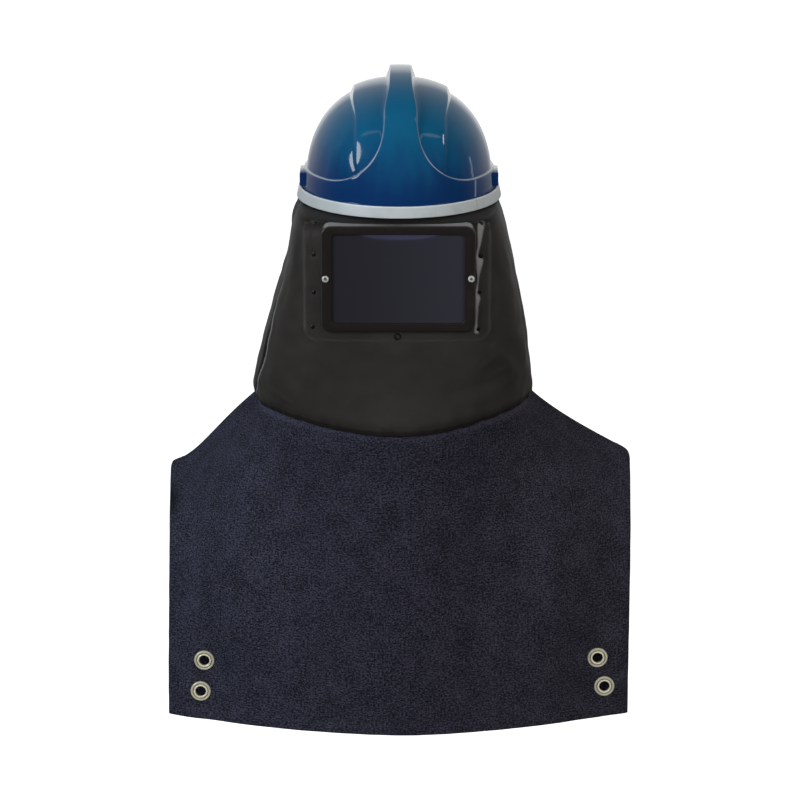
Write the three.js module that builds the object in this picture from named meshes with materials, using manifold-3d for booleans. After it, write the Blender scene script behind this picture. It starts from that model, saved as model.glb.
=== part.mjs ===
// Supplied-air hood: a hard hat with a coated fabric hood clamped to its rim and a denim cape sewn below.
// Millimetres, +Z up, the wearer looks along -Y and +X is the viewer's right.
// The origin is the centre of the hat's rim, where the head holds the hat.
import * as THREE from "three";
import { mergeVertices } from "three/addons/utils/BufferGeometryUtils.js";
import Module from "manifold-3d";

const wasm = await Module();
wasm.setup();

// Driving dimensions
const GAP = 0.4;
const RIM_SEGMENTS = 48;

const HAT = {
  halfWidth: 100.5,
  halfLength: 131,
  height: 109,
  planPower: 2.1,
  domePower: 2.32,
  wall: 2.6,
  bandRise: 3,
  bandTop: 20,
  crestRise: 17.5,
  crestHalfWidth: 16,
  crestTopHalfWidth: 13,
  crestTaperLow: 85,
  crestFadeLow: 40,
  crestFadeHigh: 105,
  flareRadius: 63,
  panelRise: 5,
  panelHalfWidth: 49,
  panelFadeLow: 15,
  panelFadeHigh: 95,
};
const HAT_MESH = { panelCentre: 0.55, rimRays: 26, crestRays: 18, stepShare: 0.018 };
const CAVITY_MESH = { turns: 32, climbs: 7 };
const FLANGE = { halfWidth: 104.8, halfLength: 136.3, top: 1.2, bottom: -3 };
const LUG = { reach: 106.6, inside: 96, length: 46, bottom: 0.8, top: 18.6, chamfer: 3 };
const BAND = { halfWidth: 109.5, halfLength: 141, wall: 2.4, top: 0, bottom: -11.6 };

// Hood sections from the rim down: level is the share of the way to the seam, the rest are distances from
// the middle, and the powers say how square the front and back are
const HOOD_WALL = 1.6;
const HOOD_TOP = -2;
const SEAM_HEIGHT = { left: -230.5, right: -227, front: -242, back: -236 };
const HOOD_SECTIONS = [
  { level: 0.0, left: 105.9, right: 105.9, front: 137.4, back: 137.4, frontPower: 2.0, backPower: 2.0 },
  { level: 0.044, left: 105.9, right: 105.9, front: 137.4, back: 137.4, frontPower: 2.0, backPower: 2.0 },
  { level: 0.058, left: 107.4, right: 106.4, front: 139.5, back: 138, frontPower: 2.2, backPower: 2.0 },
  { level: 0.078, left: 111.5, right: 107.5, front: 147, back: 139.5, frontPower: 3.8, backPower: 2.2 },
  { level: 0.14, left: 116, right: 112.6, front: 148, back: 142, frontPower: 4.6, backPower: 2.5 },
  { level: 0.27, left: 118.2, right: 119.2, front: 148.4, back: 145, frontPower: 4.8, backPower: 2.8 },
  { level: 0.4, left: 125.5, right: 125.2, front: 148.6, back: 146, frontPower: 4.8, backPower: 3.0 },
  { level: 0.53, left: 134.5, right: 131.2, front: 149, back: 146, frontPower: 4.6, backPower: 3.0 },
  { level: 0.665, left: 143, right: 137.2, front: 151.5, back: 146.5, frontPower: 3.8, backPower: 2.8 },
  { level: 0.8, left: 151.3, right: 140.5, front: 157, back: 148, frontPower: 3.0, backPower: 2.6 },
  { level: 0.9, left: 156.2, right: 143.5, front: 163, back: 150, frontPower: 2.6, backPower: 2.4 },
  { level: 0.96, left: 157.6, right: 144.6, front: 166.5, back: 151.5, frontPower: 2.35, backPower: 2.3 },
  { level: 1.0, left: 156.9, right: 143.7, front: 165.5, back: 151, frontPower: 2.25, backPower: 2.2 },
];
// Main hood folds: angles are turned from +X towards +Y, in degrees, at the upper and lower level
const HOOD_FOLDS = [
  { upperAngle: 201, lowerAngle: 194, upper: 0.3, lower: 1.0, width: 9, depth: -5 },
  { upperAngle: 318, lowerAngle: 342, upper: 0.6, lower: 0.97, width: 10, depth: 3.5 },
  { upperAngle: 300, lowerAngle: 316, upper: 0.64, lower: 0.95, width: 9, depth: -2.5 },
];

const FRAME = { x: -0.8, z: -75.4, width: 162.5, height: 113.4, corner: 10, front: -156, back: -118 };
const LENS = { x: -0.8, z: -74, width: 140, height: 94, corner: 5, front: -153.2, thickness: 3, ledge: 3 };
const WINDOW_CUT = { width: 137, height: 91, corner: 6 };
const PLATE = { x: 0, z: -81.5, width: 191, height: 119, corner: 12, wall: 2.4, back: -100 };
const SCREW = { radius: 3.9, height: 2.4, slot: 1.1, slotDepth: 1.4 };
const SCREWS = [
  { name: "screw_left", x: -77.5, z: -73.9 },
  { name: "screw_right", x: 76.2, z: -73.7 },
];
const RIVET = { radius: 3.4, height: 1.8 };
const RIVETS = [
  { name: "rivet_left_1", x: -88.6, z: -23 },
  { name: "rivet_left_2", x: -89.3, z: -51 },
  { name: "rivet_left_3", x: -89.2, z: -91 },
  { name: "rivet_left_4", x: -90.6, z: -128 },
  { name: "rivet_right_1", x: 86.4, z: -23 },
  { name: "rivet_right_2", x: 85.7, z: -52 },
  { name: "rivet_right_3", x: 84.5, z: -90.5 },
  { name: "rivet_right_4", x: 83.4, z: -130 },
];
const HOLLOW_RIVET = { x: -1.6, z: -136.8, radius: 3.8, bore: 1.9, height: 2 };

const CAPE_WALL = 2;
const CAPE_MESH = { shoulderColumns: 4, neckColumns: 16, rows: 9 };
const SEAM_DROP = 2.2;
const SHOULDER = { ridge: 0, split: 1.2, swell: 15.5, swellCentre: 0.14, swellRise: 0.6 };
const CAPE_TIPS = {
  left: { x: -249, z: -310, sag: 8.3, sagPower: 2.2 },
  right: { x: 252.5, z: -301, sag: 5.7, sagPower: 0.7 },
};
const CAPE_FRONT = { side: -1, hem: -585, halfWidth: 253, centre: 128, edge: 50, power: 1.65, ease: 4.5 };
const CAPE_BACK = { side: 1, hem: -604, halfWidth: 247, centre: 116, edge: 42, power: 1.65, ease: 4.5 };
const EYELET = { bore: 5.8, radius: 11.3, crown: 2.2, back: 1.2, barrel: 0.6, segments: 14 };
const EYELETS = [
  { name: "eyelet_left_upper", x: -213.8, z: -518 },
  { name: "eyelet_left_lower", x: -217.8, z: -553 },
  { name: "eyelet_right_upper", x: 217.6, z: -516 },
  { name: "eyelet_right_lower", x: 225.6, z: -550 },
];

const INLET = { z: -104, flange: 32, flangeThickness: 4, pipe: 19, bore: 15.5, length: 34, inside: 6 };

const MATERIALS = {
  hat: { color: 0x12407a, roughness: 0.22, metalness: 0 },
  band: { color: 0xc4c9ca, roughness: 0.5, metalness: 0 },
  coated: { color: 0x1d1b1a, roughness: 0.5, metalness: 0 },
  plastic: { color: 0x1b1918, roughness: 0.35, metalness: 0 },
  glass: { color: 0x202228, roughness: 0.08, metalness: 0 },
  zinc: { color: 0x9a9a98, roughness: 0.35, metalness: 1 },
  denim: { color: 0x25283a, roughness: 0.85, metalness: 0 },
  brass: { color: 0x8a6a3c, roughness: 0.35, metalness: 1 },
};

const degrees = (angle) => (angle * Math.PI) / 180;
const lerp = THREE.MathUtils.lerp;
const smoothstep = (value, low, high) => THREE.MathUtils.smoothstep(value, low, high);

// A closed geometry as a solid for cutting and joining
function solid(geometry) {
  const bare = geometry.clone();
  bare.deleteAttribute("normal");
  bare.deleteAttribute("uv");
  const merged = mergeVertices(bare, 1e-4);
  return new wasm.Manifold(
    new wasm.Mesh({
      numProp: 3,
      vertProperties: new Float32Array(merged.attributes.position.array),
      triVerts: new Uint32Array(merged.index.array),
    }),
  );
}

// A solid back as a geometry
function geometryOf(body) {
  const mesh = body.getMesh();
  const geometry = new THREE.BufferGeometry();
  geometry.setAttribute("position", new THREE.Float32BufferAttribute(mesh.vertProperties, 3));
  geometry.setIndex([...mesh.triVerts]);
  geometry.computeVertexNormals();
  return geometry;
}

function geometryFrom(points, triangles) {
  const geometry = new THREE.BufferGeometry();
  const coordinates = points.flatMap((point) => point.toArray());
  geometry.setAttribute("position", new THREE.Float32BufferAttribute(coordinates, 3));
  geometry.setIndex(triangles.flat());
  return mergeVertices(geometry, 1e-4);
}

// A surface as a grid of points, joined round when closed
function gridSurface(rows, columns, closed, pointAt) {
  const points = [];
  for (let row = 0; row <= rows; row += 1) {
    for (let column = 0; column < (closed ? columns : columns + 1); column += 1) {
      points.push(pointAt(column / columns, row / rows));
    }
  }
  const width = closed ? columns : columns + 1;
  const triangles = [];
  for (let row = 0; row < rows; row += 1) {
    for (let column = 0; column < columns; column += 1) {
      const next = (column + 1) % width;
      const [a, b] = [row * width + column, row * width + next];
      const [c, d] = [a + width, b + width];
      triangles.push([a, c, b], [b, c, d]);
    }
  }
  return { points, triangles };
}

// Area-weighted normals at the points of a surface
function surfaceNormals({ points, triangles }) {
  const normals = points.map(() => new THREE.Vector3());
  for (const [a, b, c] of triangles) {
    const edge = points[b].clone().sub(points[a]);
    const face = edge.cross(points[c].clone().sub(points[a]));
    for (const corner of [a, b, c]) normals[corner].add(face);
  }
  return normals.map((normal) => normal.normalize());
}

// A wall of even thickness either side of an open surface
function wallOf(surface, thickness) {
  const { points, triangles } = surface;
  const normals = surfaceNormals(surface);
  const count = points.length;
  const shifted = (amount) => points.map((point, i) => point.clone().addScaledVector(normals[i], amount));
  const all = [...shifted(thickness / 2), ...shifted(-thickness / 2)];
  const faces = [];
  const open = new Map();
  for (const [a, b, c] of triangles) {
    faces.push([a, b, c], [a + count, c + count, b + count]);
    for (const [from, to] of [[a, b], [b, c], [c, a]]) {
      const twin = `${to}-${from}`;
      if (!open.delete(twin)) open.set(`${from}-${to}`, [from, to]);
    }
  }
  for (const [from, to] of open.values()) {
    faces.push([to, from, from + count], [to, from + count, to + count]);
  }
  return geometryFrom(all, faces);
}

function meshNamed(name, geometry, finish) {
  const mesh = new THREE.Mesh(geometry, new THREE.MeshStandardMaterial(MATERIALS[finish]));
  mesh.name = name;
  return mesh;
}

// Distance from the middle to a squared ellipse along a direction
function squaredReach(turn, halfWidth, halfLength, power) {
  const across = Math.abs(Math.cos(turn)) / halfWidth;
  const along = Math.abs(Math.sin(turn)) / halfLength;
  return (across ** power + along ** power) ** (-1 / power);
}

function rimOutline(halfWidth, halfLength, power = 2) {
  const points = [];
  for (let i = 0; i < RIM_SEGMENTS; i += 1) {
    const turn = (i / RIM_SEGMENTS) * 2 * Math.PI;
    const reach = squaredReach(turn, halfWidth, halfLength, power);
    points.push(new THREE.Vector2(reach * Math.cos(turn), reach * Math.sin(turn)));
  }
  return points;
}

// An upright ring between two outlines
function rimRing(outer, inner, bottom, top) {
  const shape = new THREE.Shape(outer);
  shape.holes.push(new THREE.Path(inner));
  const ring = new THREE.ExtrudeGeometry(shape, { depth: top - bottom, bevelEnabled: false });
  return ring.translate(0, 0, bottom);
}

// Hat dome at a place on its flat chart: across and along run from the crown (0) to the rim (1)
function domePoint(across, along, rise) {
  const turn = Math.atan2(along, across);
  const climb = Math.max(0, 1 - Math.hypot(across, along)) * (Math.PI / 2);
  const reach = squaredReach(turn, HAT.halfWidth, HAT.halfLength, HAT.planPower);
  const spread = reach * Math.cos(climb) ** (2 / HAT.domePower);
  const height = HAT.height * Math.sin(climb) ** (2 / HAT.domePower);
  const point = new THREE.Vector3(spread * Math.cos(turn), spread * Math.sin(turn), height);
  return point.addScaledVector(domeNormal(point), rise);
}

function domeNormal(point) {
  const across = Math.abs(point.x) / HAT.halfWidth;
  const along = Math.abs(point.y) / HAT.halfLength;
  const up = point.z / HAT.height;
  const plan = across ** HAT.planPower + along ** HAT.planPower;
  const share = plan > 0 ? plan ** (HAT.domePower / HAT.planPower - 1) : 0;
  return new THREE.Vector3(
    (Math.sign(point.x) * share * across ** (HAT.planPower - 1)) / HAT.halfWidth,
    (Math.sign(point.y) * share * along ** (HAT.planPower - 1)) / HAT.halfLength,
    up ** (HAT.domePower - 1) / HAT.height,
  ).normalize();
}

function crestHalfWidth(height) {
  const taper = smoothstep(height, HAT.crestTaperLow, HAT.crestFadeHigh);
  return lerp(HAT.crestHalfWidth, HAT.crestTopHalfWidth, taper);
}

// The raised T: the crest above, flaring in an arc into the band below
function isRaised(point) {
  const centreHeight = HAT.bandTop + HAT.flareRadius;
  if (point.z < HAT.bandTop) return true;
  if (point.z > centreHeight) return Math.abs(point.x) < crestHalfWidth(point.z);
  const drop = centreHeight - point.z;
  const arc = Math.sqrt(HAT.flareRadius ** 2 - drop ** 2);
  return Math.abs(point.x) < HAT.crestHalfWidth + HAT.flareRadius - arc;
}

function raisedRise(height) {
  const crest = HAT.crestRise - HAT.bandRise;
  return HAT.bandRise + crest * smoothstep(height, HAT.crestFadeLow, HAT.crestFadeHigh);
}

function panelRise(height) {
  return HAT.panelRise * smoothstep(height, HAT.panelFadeLow, HAT.panelFadeHigh);
}

// Share of the way along a ray of the chart at which a test first holds
function crossing(test, placeAt) {
  let [low, high] = [0, 1];
  for (let step = 0; step < 30; step += 1) {
    const middle = (low + high) / 2;
    const [across, along] = placeAt(middle);
    if (test(domePoint(across, along, 0))) high = middle;
    else low = middle;
  }
  return high;
}

// Points of one ray, from the middle of the side panel out to the crest or the rim
function hatRay(end) {
  const start = HAT_MESH.panelCentre;
  const placeAt = (share) => [lerp(start, end.across, share), end.along * share];
  const length = Math.hypot(end.across - start, end.along);
  const step = HAT_MESH.stepShare / length;
  const edge = crossing(isRaised, placeAt);
  const panelEdge = crossing((point) => Math.abs(point.x) < HAT.panelHalfWidth, placeAt);
  const inner = Math.min(panelEdge, edge * 0.95 - step);
  const stops = [
    { share: inner * 0.35, level: "outer" },
    { share: inner * 0.7, level: "outer" },
    { share: inner - step, level: "outer" },
    { share: inner, level: "panel" },
    { share: (inner + edge) / 2, level: "panel" },
    { share: edge - step / 2, level: "panel" },
    { share: edge + step / 2, level: "raised" },
    { share: (edge + 1) / 2, level: "raised" },
    { share: 1, level: "raised" },
  ];
  return stops.map(({ share, level }) => {
    const [across, along] = placeAt(share);
    const height = domePoint(across, along, 0).z;
    const rises = { outer: 0, panel: panelRise(height), raised: raisedRise(height) };
    return domePoint(across, along, rises[level]);
  });
}

// Ray ends round one half of the hat: along the rim, then back along the crest
function hatRayEnds() {
  const ends = [];
  for (let i = 0; i < HAT_MESH.rimRays; i += 1) {
    const turn = lerp(-Math.PI / 2, Math.PI / 2, i / HAT_MESH.rimRays);
    ends.push({ across: Math.cos(turn), along: Math.sin(turn) });
  }
  for (let i = 0; i < HAT_MESH.crestRays; i += 1) {
    ends.push({ across: 0, along: lerp(1, -1, i / HAT_MESH.crestRays) });
  }
  return ends;
}

function hatHalf(side) {
  const rays = hatRayEnds().map(hatRay);
  const rings = rays[0].length;
  const points = [domePoint(HAT_MESH.panelCentre, 0, 0), new THREE.Vector3(0, 0, 0), ...rays.flat()];
  const index = (ray, ring) => 2 + (ray % rays.length) * rings + ring;
  const triangles = [];
  for (let ray = 0; ray < rays.length; ray += 1) {
    triangles.push([0, index(ray, 0), index(ray + 1, 0)]);
    for (let ring = 0; ring < rings - 1; ring += 1) {
      const [a, b] = [index(ray, ring), index(ray + 1, ring)];
      const [c, d] = [index(ray, ring + 1), index(ray + 1, ring + 1)];
      triangles.push([a, c, b], [b, c, d]);
    }
    if (ray < HAT_MESH.rimRays) triangles.push([1, index(ray + 1, rings - 1), index(ray, rings - 1)]);
  }
  for (const point of points) point.x *= side;
  return { points, triangles: side > 0 ? triangles : triangles.map(([a, b, c]) => [a, c, b]) };
}

function hatOuter() {
  const [right, left] = [hatHalf(1), hatHalf(-1)];
  const shift = right.points.length;
  const moved = left.triangles.map((corners) => corners.map((corner) => corner + shift));
  return solid(geometryFrom([...right.points, ...left.points], [...right.triangles, ...moved]));
}

// A plain dome inside the shell, closed below the rim
function hatCavity(rise) {
  const { turns, climbs } = CAVITY_MESH;
  const floor = FLANGE.bottom - 1;
  const surface = gridSurface(climbs - 1, turns, true, (round, down) => {
    const turn = round * 2 * Math.PI;
    const reach = lerp(1 / climbs, 1, down);
    return domePoint(reach * Math.cos(turn), reach * Math.sin(turn), rise);
  });
  const rim = surface.points.slice(-turns).map((point) => point.clone().setZ(floor));
  const crown = surface.points.length + turns;
  const points = [...surface.points, ...rim, domePoint(0, 0, rise), new THREE.Vector3(0, 0, floor)];
  const triangles = [...surface.triangles];
  const edge = surface.points.length - turns;
  for (let i = 0; i < turns; i += 1) {
    const next = (i + 1) % turns;
    triangles.push([crown, i, next]);
    triangles.push([edge + i, edge + turns + i, edge + next]);
    triangles.push([edge + next, edge + turns + i, edge + turns + next]);
    triangles.push([crown + 1, edge + turns + next, edge + turns + i]);
  }
  return solid(geometryFrom(points, triangles));
}

// A slot lug on the side of the hat, with its upper corners cut off
function hatLug(side) {
  const half = LUG.length / 2;
  const shape = new THREE.Shape();
  shape.moveTo(-half, LUG.bottom);
  shape.lineTo(half, LUG.bottom);
  shape.lineTo(half, LUG.top - LUG.chamfer);
  shape.lineTo(half - LUG.chamfer, LUG.top);
  shape.lineTo(LUG.chamfer - half, LUG.top);
  shape.lineTo(-half, LUG.top - LUG.chamfer);
  const depth = LUG.reach - LUG.inside;
  const lug = new THREE.ExtrudeGeometry(shape, { depth, bevelEnabled: false });
  lug.rotateX(Math.PI / 2).rotateZ(Math.PI / 2);
  return solid(lug.translate(side > 0 ? LUG.inside : -LUG.reach, 0, 0));
}

function hatShell() {
  const flange = rimRing(
    rimOutline(FLANGE.halfWidth, FLANGE.halfLength),
    rimOutline(HAT.halfWidth - HAT.wall - 2, HAT.halfLength - HAT.wall - 2),
    FLANGE.bottom,
    FLANGE.top,
  );
  const crestRoom = 2 * (HAT.crestTopHalfWidth - HAT.wall - 2);
  const slot = new THREE.BoxGeometry(crestRoom, 3 * HAT.halfLength, 3 * HAT.height);
  const crestCavity = hatCavity(HAT.crestRise - HAT.bandRise - HAT.wall).intersect(solid(slot));
  const upperOnly = new THREE.BoxGeometry(4 * HAT.halfWidth, 4 * HAT.halfLength, HAT.height);
  upperOnly.translate(0, 0, HAT.crestFadeHigh - 10 + HAT.height / 2);
  const body = hatOuter().add(solid(flange)).add(hatLug(1)).add(hatLug(-1));
  const hollow = hatCavity(-HAT.wall).add(crestCavity.intersect(solid(upperOnly)));
  return geometryOf(body.subtract(hollow));
}

function rimBand() {
  return rimRing(
    rimOutline(BAND.halfWidth, BAND.halfLength),
    rimOutline(BAND.halfWidth - BAND.wall, BAND.halfLength - BAND.wall),
    BAND.bottom,
    BAND.top,
  );
}

// One row of the hood table at any level, blended between its neighbours
function hoodSection(level) {
  const last = HOOD_SECTIONS.length - 1;
  let row = 0;
  while (row < last - 1 && HOOD_SECTIONS[row + 1].level < level) row += 1;
  const [upper, lower] = [HOOD_SECTIONS[row], HOOD_SECTIONS[row + 1]];
  const share = (level - upper.level) / (lower.level - upper.level);
  const section = {};
  for (const column of Object.keys(upper)) section[column] = lerp(upper[column], lower[column], share);
  return section;
}

// Height of the hood's lower edge round the shoulders
function seamHeight(turn) {
  const side = Math.cos(turn) < 0 ? SEAM_HEIGHT.left : SEAM_HEIGHT.right;
  const middle = Math.sin(turn) < 0 ? SEAM_HEIGHT.front : SEAM_HEIGHT.back;
  return lerp(side, middle, Math.sin(turn) ** 2);
}

// How far the main folds push the cloth out at a place on the hood
function hoodFold(turn, level) {
  let push = 0;
  for (const fold of HOOD_FOLDS) {
    const share = (level - fold.upper) / (fold.lower - fold.upper);
    if (share <= 0 || share > 1) continue;
    const angle = degrees(lerp(fold.upperAngle, fold.lowerAngle, share));
    const away = (turn - angle) / degrees(fold.width);
    if (Math.abs(away) > 1) continue;
    push += fold.depth * Math.cos((away * Math.PI) / 2) ** 2 * Math.sin(share * Math.PI);
  }
  return push;
}

function hoodPoint(turn, level, rise = 0) {
  const section = hoodSection(level);
  const halfWidth = Math.cos(turn) < 0 ? section.left : section.right;
  const front = Math.sin(turn) < 0;
  const halfLength = front ? section.front : section.back;
  const power = front ? section.frontPower : section.backPower;
  const reach = squaredReach(turn, halfWidth, halfLength, power) + hoodFold(turn, level) + rise;
  const height = lerp(HOOD_TOP, seamHeight(turn), level);
  return new THREE.Vector3(reach * Math.cos(turn), reach * Math.sin(turn), height);
}

function hoodSurface(rise) {
  const rows = HOOD_SECTIONS.length - 1;
  return gridSurface(rows, RIM_SEGMENTS, true, (round, down) => {
    const level = HOOD_SECTIONS[Math.round(down * rows)].level;
    return hoodPoint(round * 2 * Math.PI, level, rise);
  });
}

// The whole space inside the hood's outer face grown by a clearance, to fit rigid pieces against it
function hoodBody(clearance) {
  const surface = hoodSurface(0);
  const normals = surfaceNormals(surface);
  const points = surface.points.map((point, i) => point.clone().addScaledVector(normals[i], clearance));
  const top = points.length;
  points.push(new THREE.Vector3(0, 0, HOOD_TOP), new THREE.Vector3(0, 0, SEAM_HEIGHT.front));
  const triangles = [...surface.triangles];
  const last = top - RIM_SEGMENTS;
  for (let i = 0; i < RIM_SEGMENTS; i += 1) {
    const next = (i + 1) % RIM_SEGMENTS;
    triangles.push([top, i, next], [top + 1, last + next, last + i]);
  }
  return solid(geometryFrom(points, triangles));
}

// The hood's outer face at a place seen from the front (side -1) or the back (side 1)
function hoodFace(x, z, side) {
  let [turn, level] = [(side * Math.PI) / 2, 0.5];
  let point = hoodPoint(turn, level);
  for (let step = 0; step < 40; step += 1) {
    turn = Math.atan2(point.y, x);
    level = (z - HOOD_TOP) / (seamHeight(turn) - HOOD_TOP);
    point = hoodPoint(turn, level);
  }
  const along = hoodPoint(turn + 0.01, level).sub(point);
  const down = hoodPoint(turn, level + 0.01).sub(point);
  return { point, normal: down.cross(along).normalize() };
}

// A rounded plate across Y, from its back to its front face
function roundedPlate({ x, z, width, height, corner }, back, front) {
  const [w, h] = [width / 2, height / 2];
  const shape = new THREE.Shape();
  shape.moveTo(corner - w, -h);
  shape.lineTo(w - corner, -h);
  shape.quadraticCurveTo(w, -h, w, corner - h);
  shape.lineTo(w, h - corner);
  shape.quadraticCurveTo(w, h, w - corner, h);
  shape.lineTo(corner - w, h);
  shape.quadraticCurveTo(-w, h, -w, h - corner);
  shape.lineTo(-w, corner - h);
  shape.quadraticCurveTo(-w, -h, corner - w, -h);
  const plate = new THREE.ExtrudeGeometry(shape, { depth: back - front, bevelEnabled: false, curveSegments: 4 });
  return plate.rotateX(Math.PI / 2).translate(x, back, z);
}

function windowHole() {
  const size = { ...LENS, ...WINDOW_CUT };
  return solid(roundedPlate(size, 0, FRAME.front - 10));
}

function hood() {
  const wall = solid(wallOf(hoodSurface(0), HOOD_WALL));
  const pipeHole = new THREE.CylinderGeometry(INLET.pipe + GAP, INLET.pipe + GAP, 60, 32);
  pipeHole.translate(0, HOOD_SECTIONS[0].back, INLET.z);
  return geometryOf(wall.subtract(windowHole()).subtract(solid(pipeHole)));
}

// Stiff plate just inside the fabric, with the same curve and the same window
function windowPlate() {
  const face = -(HOOD_WALL / 2 + GAP);
  const slab = solid(roundedPlate(PLATE, PLATE.back, FRAME.front));
  const curved = slab.intersect(hoodBody(face)).subtract(hoodBody(face - PLATE.wall));
  return geometryOf(curved.subtract(windowHole()));
}

function lensFrame() {
  const lip = roundedPlate(LENS, 0, FRAME.front - 10);
  const pocketSize = {
    ...LENS,
    width: LENS.width + 2 * (LENS.ledge + GAP),
    height: LENS.height + 2 * (LENS.ledge + GAP),
  };
  const pocket = roundedPlate(pocketSize, 0, LENS.front - GAP);
  const slab = solid(roundedPlate(FRAME, FRAME.back, FRAME.front));
  const body = slab.subtract(hoodBody(HOOD_WALL / 2 + GAP));
  return geometryOf(body.subtract(solid(lip)).subtract(solid(pocket)));
}

function lens() {
  const { ledge } = LENS;
  const size = { ...LENS, width: LENS.width + 2 * ledge, height: LENS.height + 2 * ledge };
  return roundedPlate(size, LENS.front + LENS.thickness, LENS.front);
}

// Turned pieces stand along +Y from a base at the origin, so that they can be aimed along a normal
function domedHead({ radius, height }, segments) {
  const profile = [
    new THREE.Vector2(0, 0),
    new THREE.Vector2(radius, 0),
    new THREE.Vector2(radius, height * 0.35),
    new THREE.Vector2(radius * 0.72, height * 0.85),
    new THREE.Vector2(0, height),
  ];
  return new THREE.LatheGeometry(profile, segments);
}

function ringOf(corners, segments) {
  const profile = corners.map(([radius, height]) => new THREE.Vector2(radius, height));
  return new THREE.LatheGeometry([...profile, profile[0]], segments);
}

function screwHead() {
  const head = solid(domedHead(SCREW, 16));
  const slot = [2 * SCREW.radius * 0.62, 2 * SCREW.slotDepth, SCREW.slot];
  const first = new THREE.BoxGeometry(...slot).translate(0, SCREW.height, 0);
  const second = first.clone().rotateY(Math.PI / 2);
  return geometryOf(head.subtract(solid(first).add(solid(second))));
}

function hollowRivet() {
  const { radius, bore, height } = HOLLOW_RIVET;
  return ringOf([[bore, 0], [radius, 0], [radius, height * 0.5], [radius * 0.75, height], [bore, height * 0.8]], 14);
}

function aimed(mesh, point, normal, lift) {
  mesh.quaternion.setFromUnitVectors(new THREE.Vector3(0, 1, 0), normal);
  mesh.position.copy(point).addScaledVector(normal, lift);
  return mesh;
}

function windowFasteners() {
  const group = new THREE.Group();
  const forward = new THREE.Vector3(0, -1, 0);
  for (const { name, x, z } of SCREWS) {
    const seat = new THREE.Vector3(x, FRAME.front, z);
    group.add(aimed(meshNamed(name, screwHead(), "zinc"), seat, forward, GAP));
  }
  for (const { name, x, z } of RIVETS) {
    const { point, normal } = hoodFace(x, z, -1);
    const rivet = meshNamed(name, domedHead(RIVET, 10), "plastic");
    group.add(aimed(rivet, point, normal, HOOD_WALL / 2 + GAP));
  }
  const { point, normal } = hoodFace(HOLLOW_RIVET.x, HOLLOW_RIVET.z, -1);
  const low = meshNamed("rivet_bottom", hollowRivet(), "plastic");
  group.add(aimed(low, point, normal, HOOD_WALL / 2 + GAP));
  return group;
}

// Upper edge of a cape panel: shoulder, neck seam, shoulder, as a share from left to right
function capeTop(panel, share) {
  const { shoulderColumns, neckColumns } = CAPE_MESH;
  const shoulder = shoulderColumns / (2 * shoulderColumns + neckColumns);
  const fromSide = Math.min(share, 1 - share);
  if (fromSide >= shoulder) {
    const round = (share - shoulder) / (1 - 2 * shoulder);
    const turn = Math.PI - panel.side * Math.PI * round;
    const seam = hoodPoint(turn < 0 ? turn + 2 * Math.PI : turn, 1);
    const split = panel.side * SHOULDER.split * Math.abs(Math.cos(turn));
    return seam.add(new THREE.Vector3(0, split, -SEAM_DROP));
  }
  const left = share < 0.5;
  const neck = hoodPoint(left ? Math.PI : 0, 1);
  const tip = left ? CAPE_TIPS.left : CAPE_TIPS.right;
  const out = 1 - fromSide / shoulder;
  const sag = tip.sag * Math.sin(out ** tip.sagPower * Math.PI);
  return new THREE.Vector3(
    lerp(neck.x, tip.x, out),
    SHOULDER.ridge + panel.side * SHOULDER.split,
    lerp(neck.z - SEAM_DROP, tip.z, out) - sag,
  );
}

function capeHem(panel, share) {
  const x = lerp(-panel.halfWidth, panel.halfWidth, share);
  const out = (Math.abs(x) / panel.halfWidth) ** panel.power;
  return new THREE.Vector3(x, panel.side * lerp(panel.centre, panel.edge, out), panel.hem);
}

// How far the cloth stands out over the front of the shoulder, between the neck and the tip
function shoulderSwell(share, down) {
  const fromSide = Math.min(share, 1 - share);
  const away = (fromSide - SHOULDER.swellCentre) / SHOULDER.swellCentre;
  if (Math.abs(away) >= 1) return 0;
  return SHOULDER.swell * Math.cos((away * Math.PI) / 2) ** 2 * Math.sin(Math.PI * down ** SHOULDER.swellRise);
}

// A cape panel drops from its upper edge to its hem, coming forward over the shoulders
function capePoint(panel, share, down) {
  const top = capeTop(panel, share);
  const hem = capeHem(panel, share);
  const comesForward = panel.side * (hem.y - top.y) > 0;
  const forward = comesForward ? 1 - (1 - down) ** panel.ease : down;
  return new THREE.Vector3(
    lerp(top.x, hem.x, down),
    lerp(top.y, hem.y, forward) + panel.side * shoulderSwell(share, down),
    lerp(top.z, hem.z, down),
  );
}

function capeSurface(panel) {
  const columns = 2 * CAPE_MESH.shoulderColumns + CAPE_MESH.neckColumns;
  const surface = gridSurface(CAPE_MESH.rows, columns, false, (share, down) => capePoint(panel, share, down));
  if (panel.side > 0) surface.triangles = surface.triangles.map(([a, b, c]) => [a, c, b]);
  return surface;
}

// The front panel's mid-surface at a place seen from the front
function capeFace(x, z) {
  let [low, high] = [0, 1];
  const downAt = (share) => {
    const top = capeTop(CAPE_FRONT, share).z;
    return (z - top) / (CAPE_FRONT.hem - top);
  };
  for (let step = 0; step < 30; step += 1) {
    const middle = (low + high) / 2;
    if (capePoint(CAPE_FRONT, middle, downAt(middle)).x < x) low = middle;
    else high = middle;
  }
  const down = downAt(low);
  const point = capePoint(CAPE_FRONT, low, down);
  const along = capePoint(CAPE_FRONT, low + 0.02, down).sub(point);
  const below = capePoint(CAPE_FRONT, low, down + 0.02).sub(point);
  return { point, normal: below.cross(along).normalize() };
}

function eyelet() {
  const { bore, radius, crown, back, barrel, segments } = EYELET;
  const cloth = CAPE_WALL / 2 + GAP;
  return ringOf(
    [
      [bore, -cloth - back],
      [radius * 0.9, -cloth - back],
      [radius * 0.9, -cloth],
      [bore + barrel, -cloth],
      [bore + barrel, cloth],
      [radius, cloth],
      [radius * 0.9, cloth + crown],
      [bore + barrel, cloth + crown],
    ],
    segments,
  );
}

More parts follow.
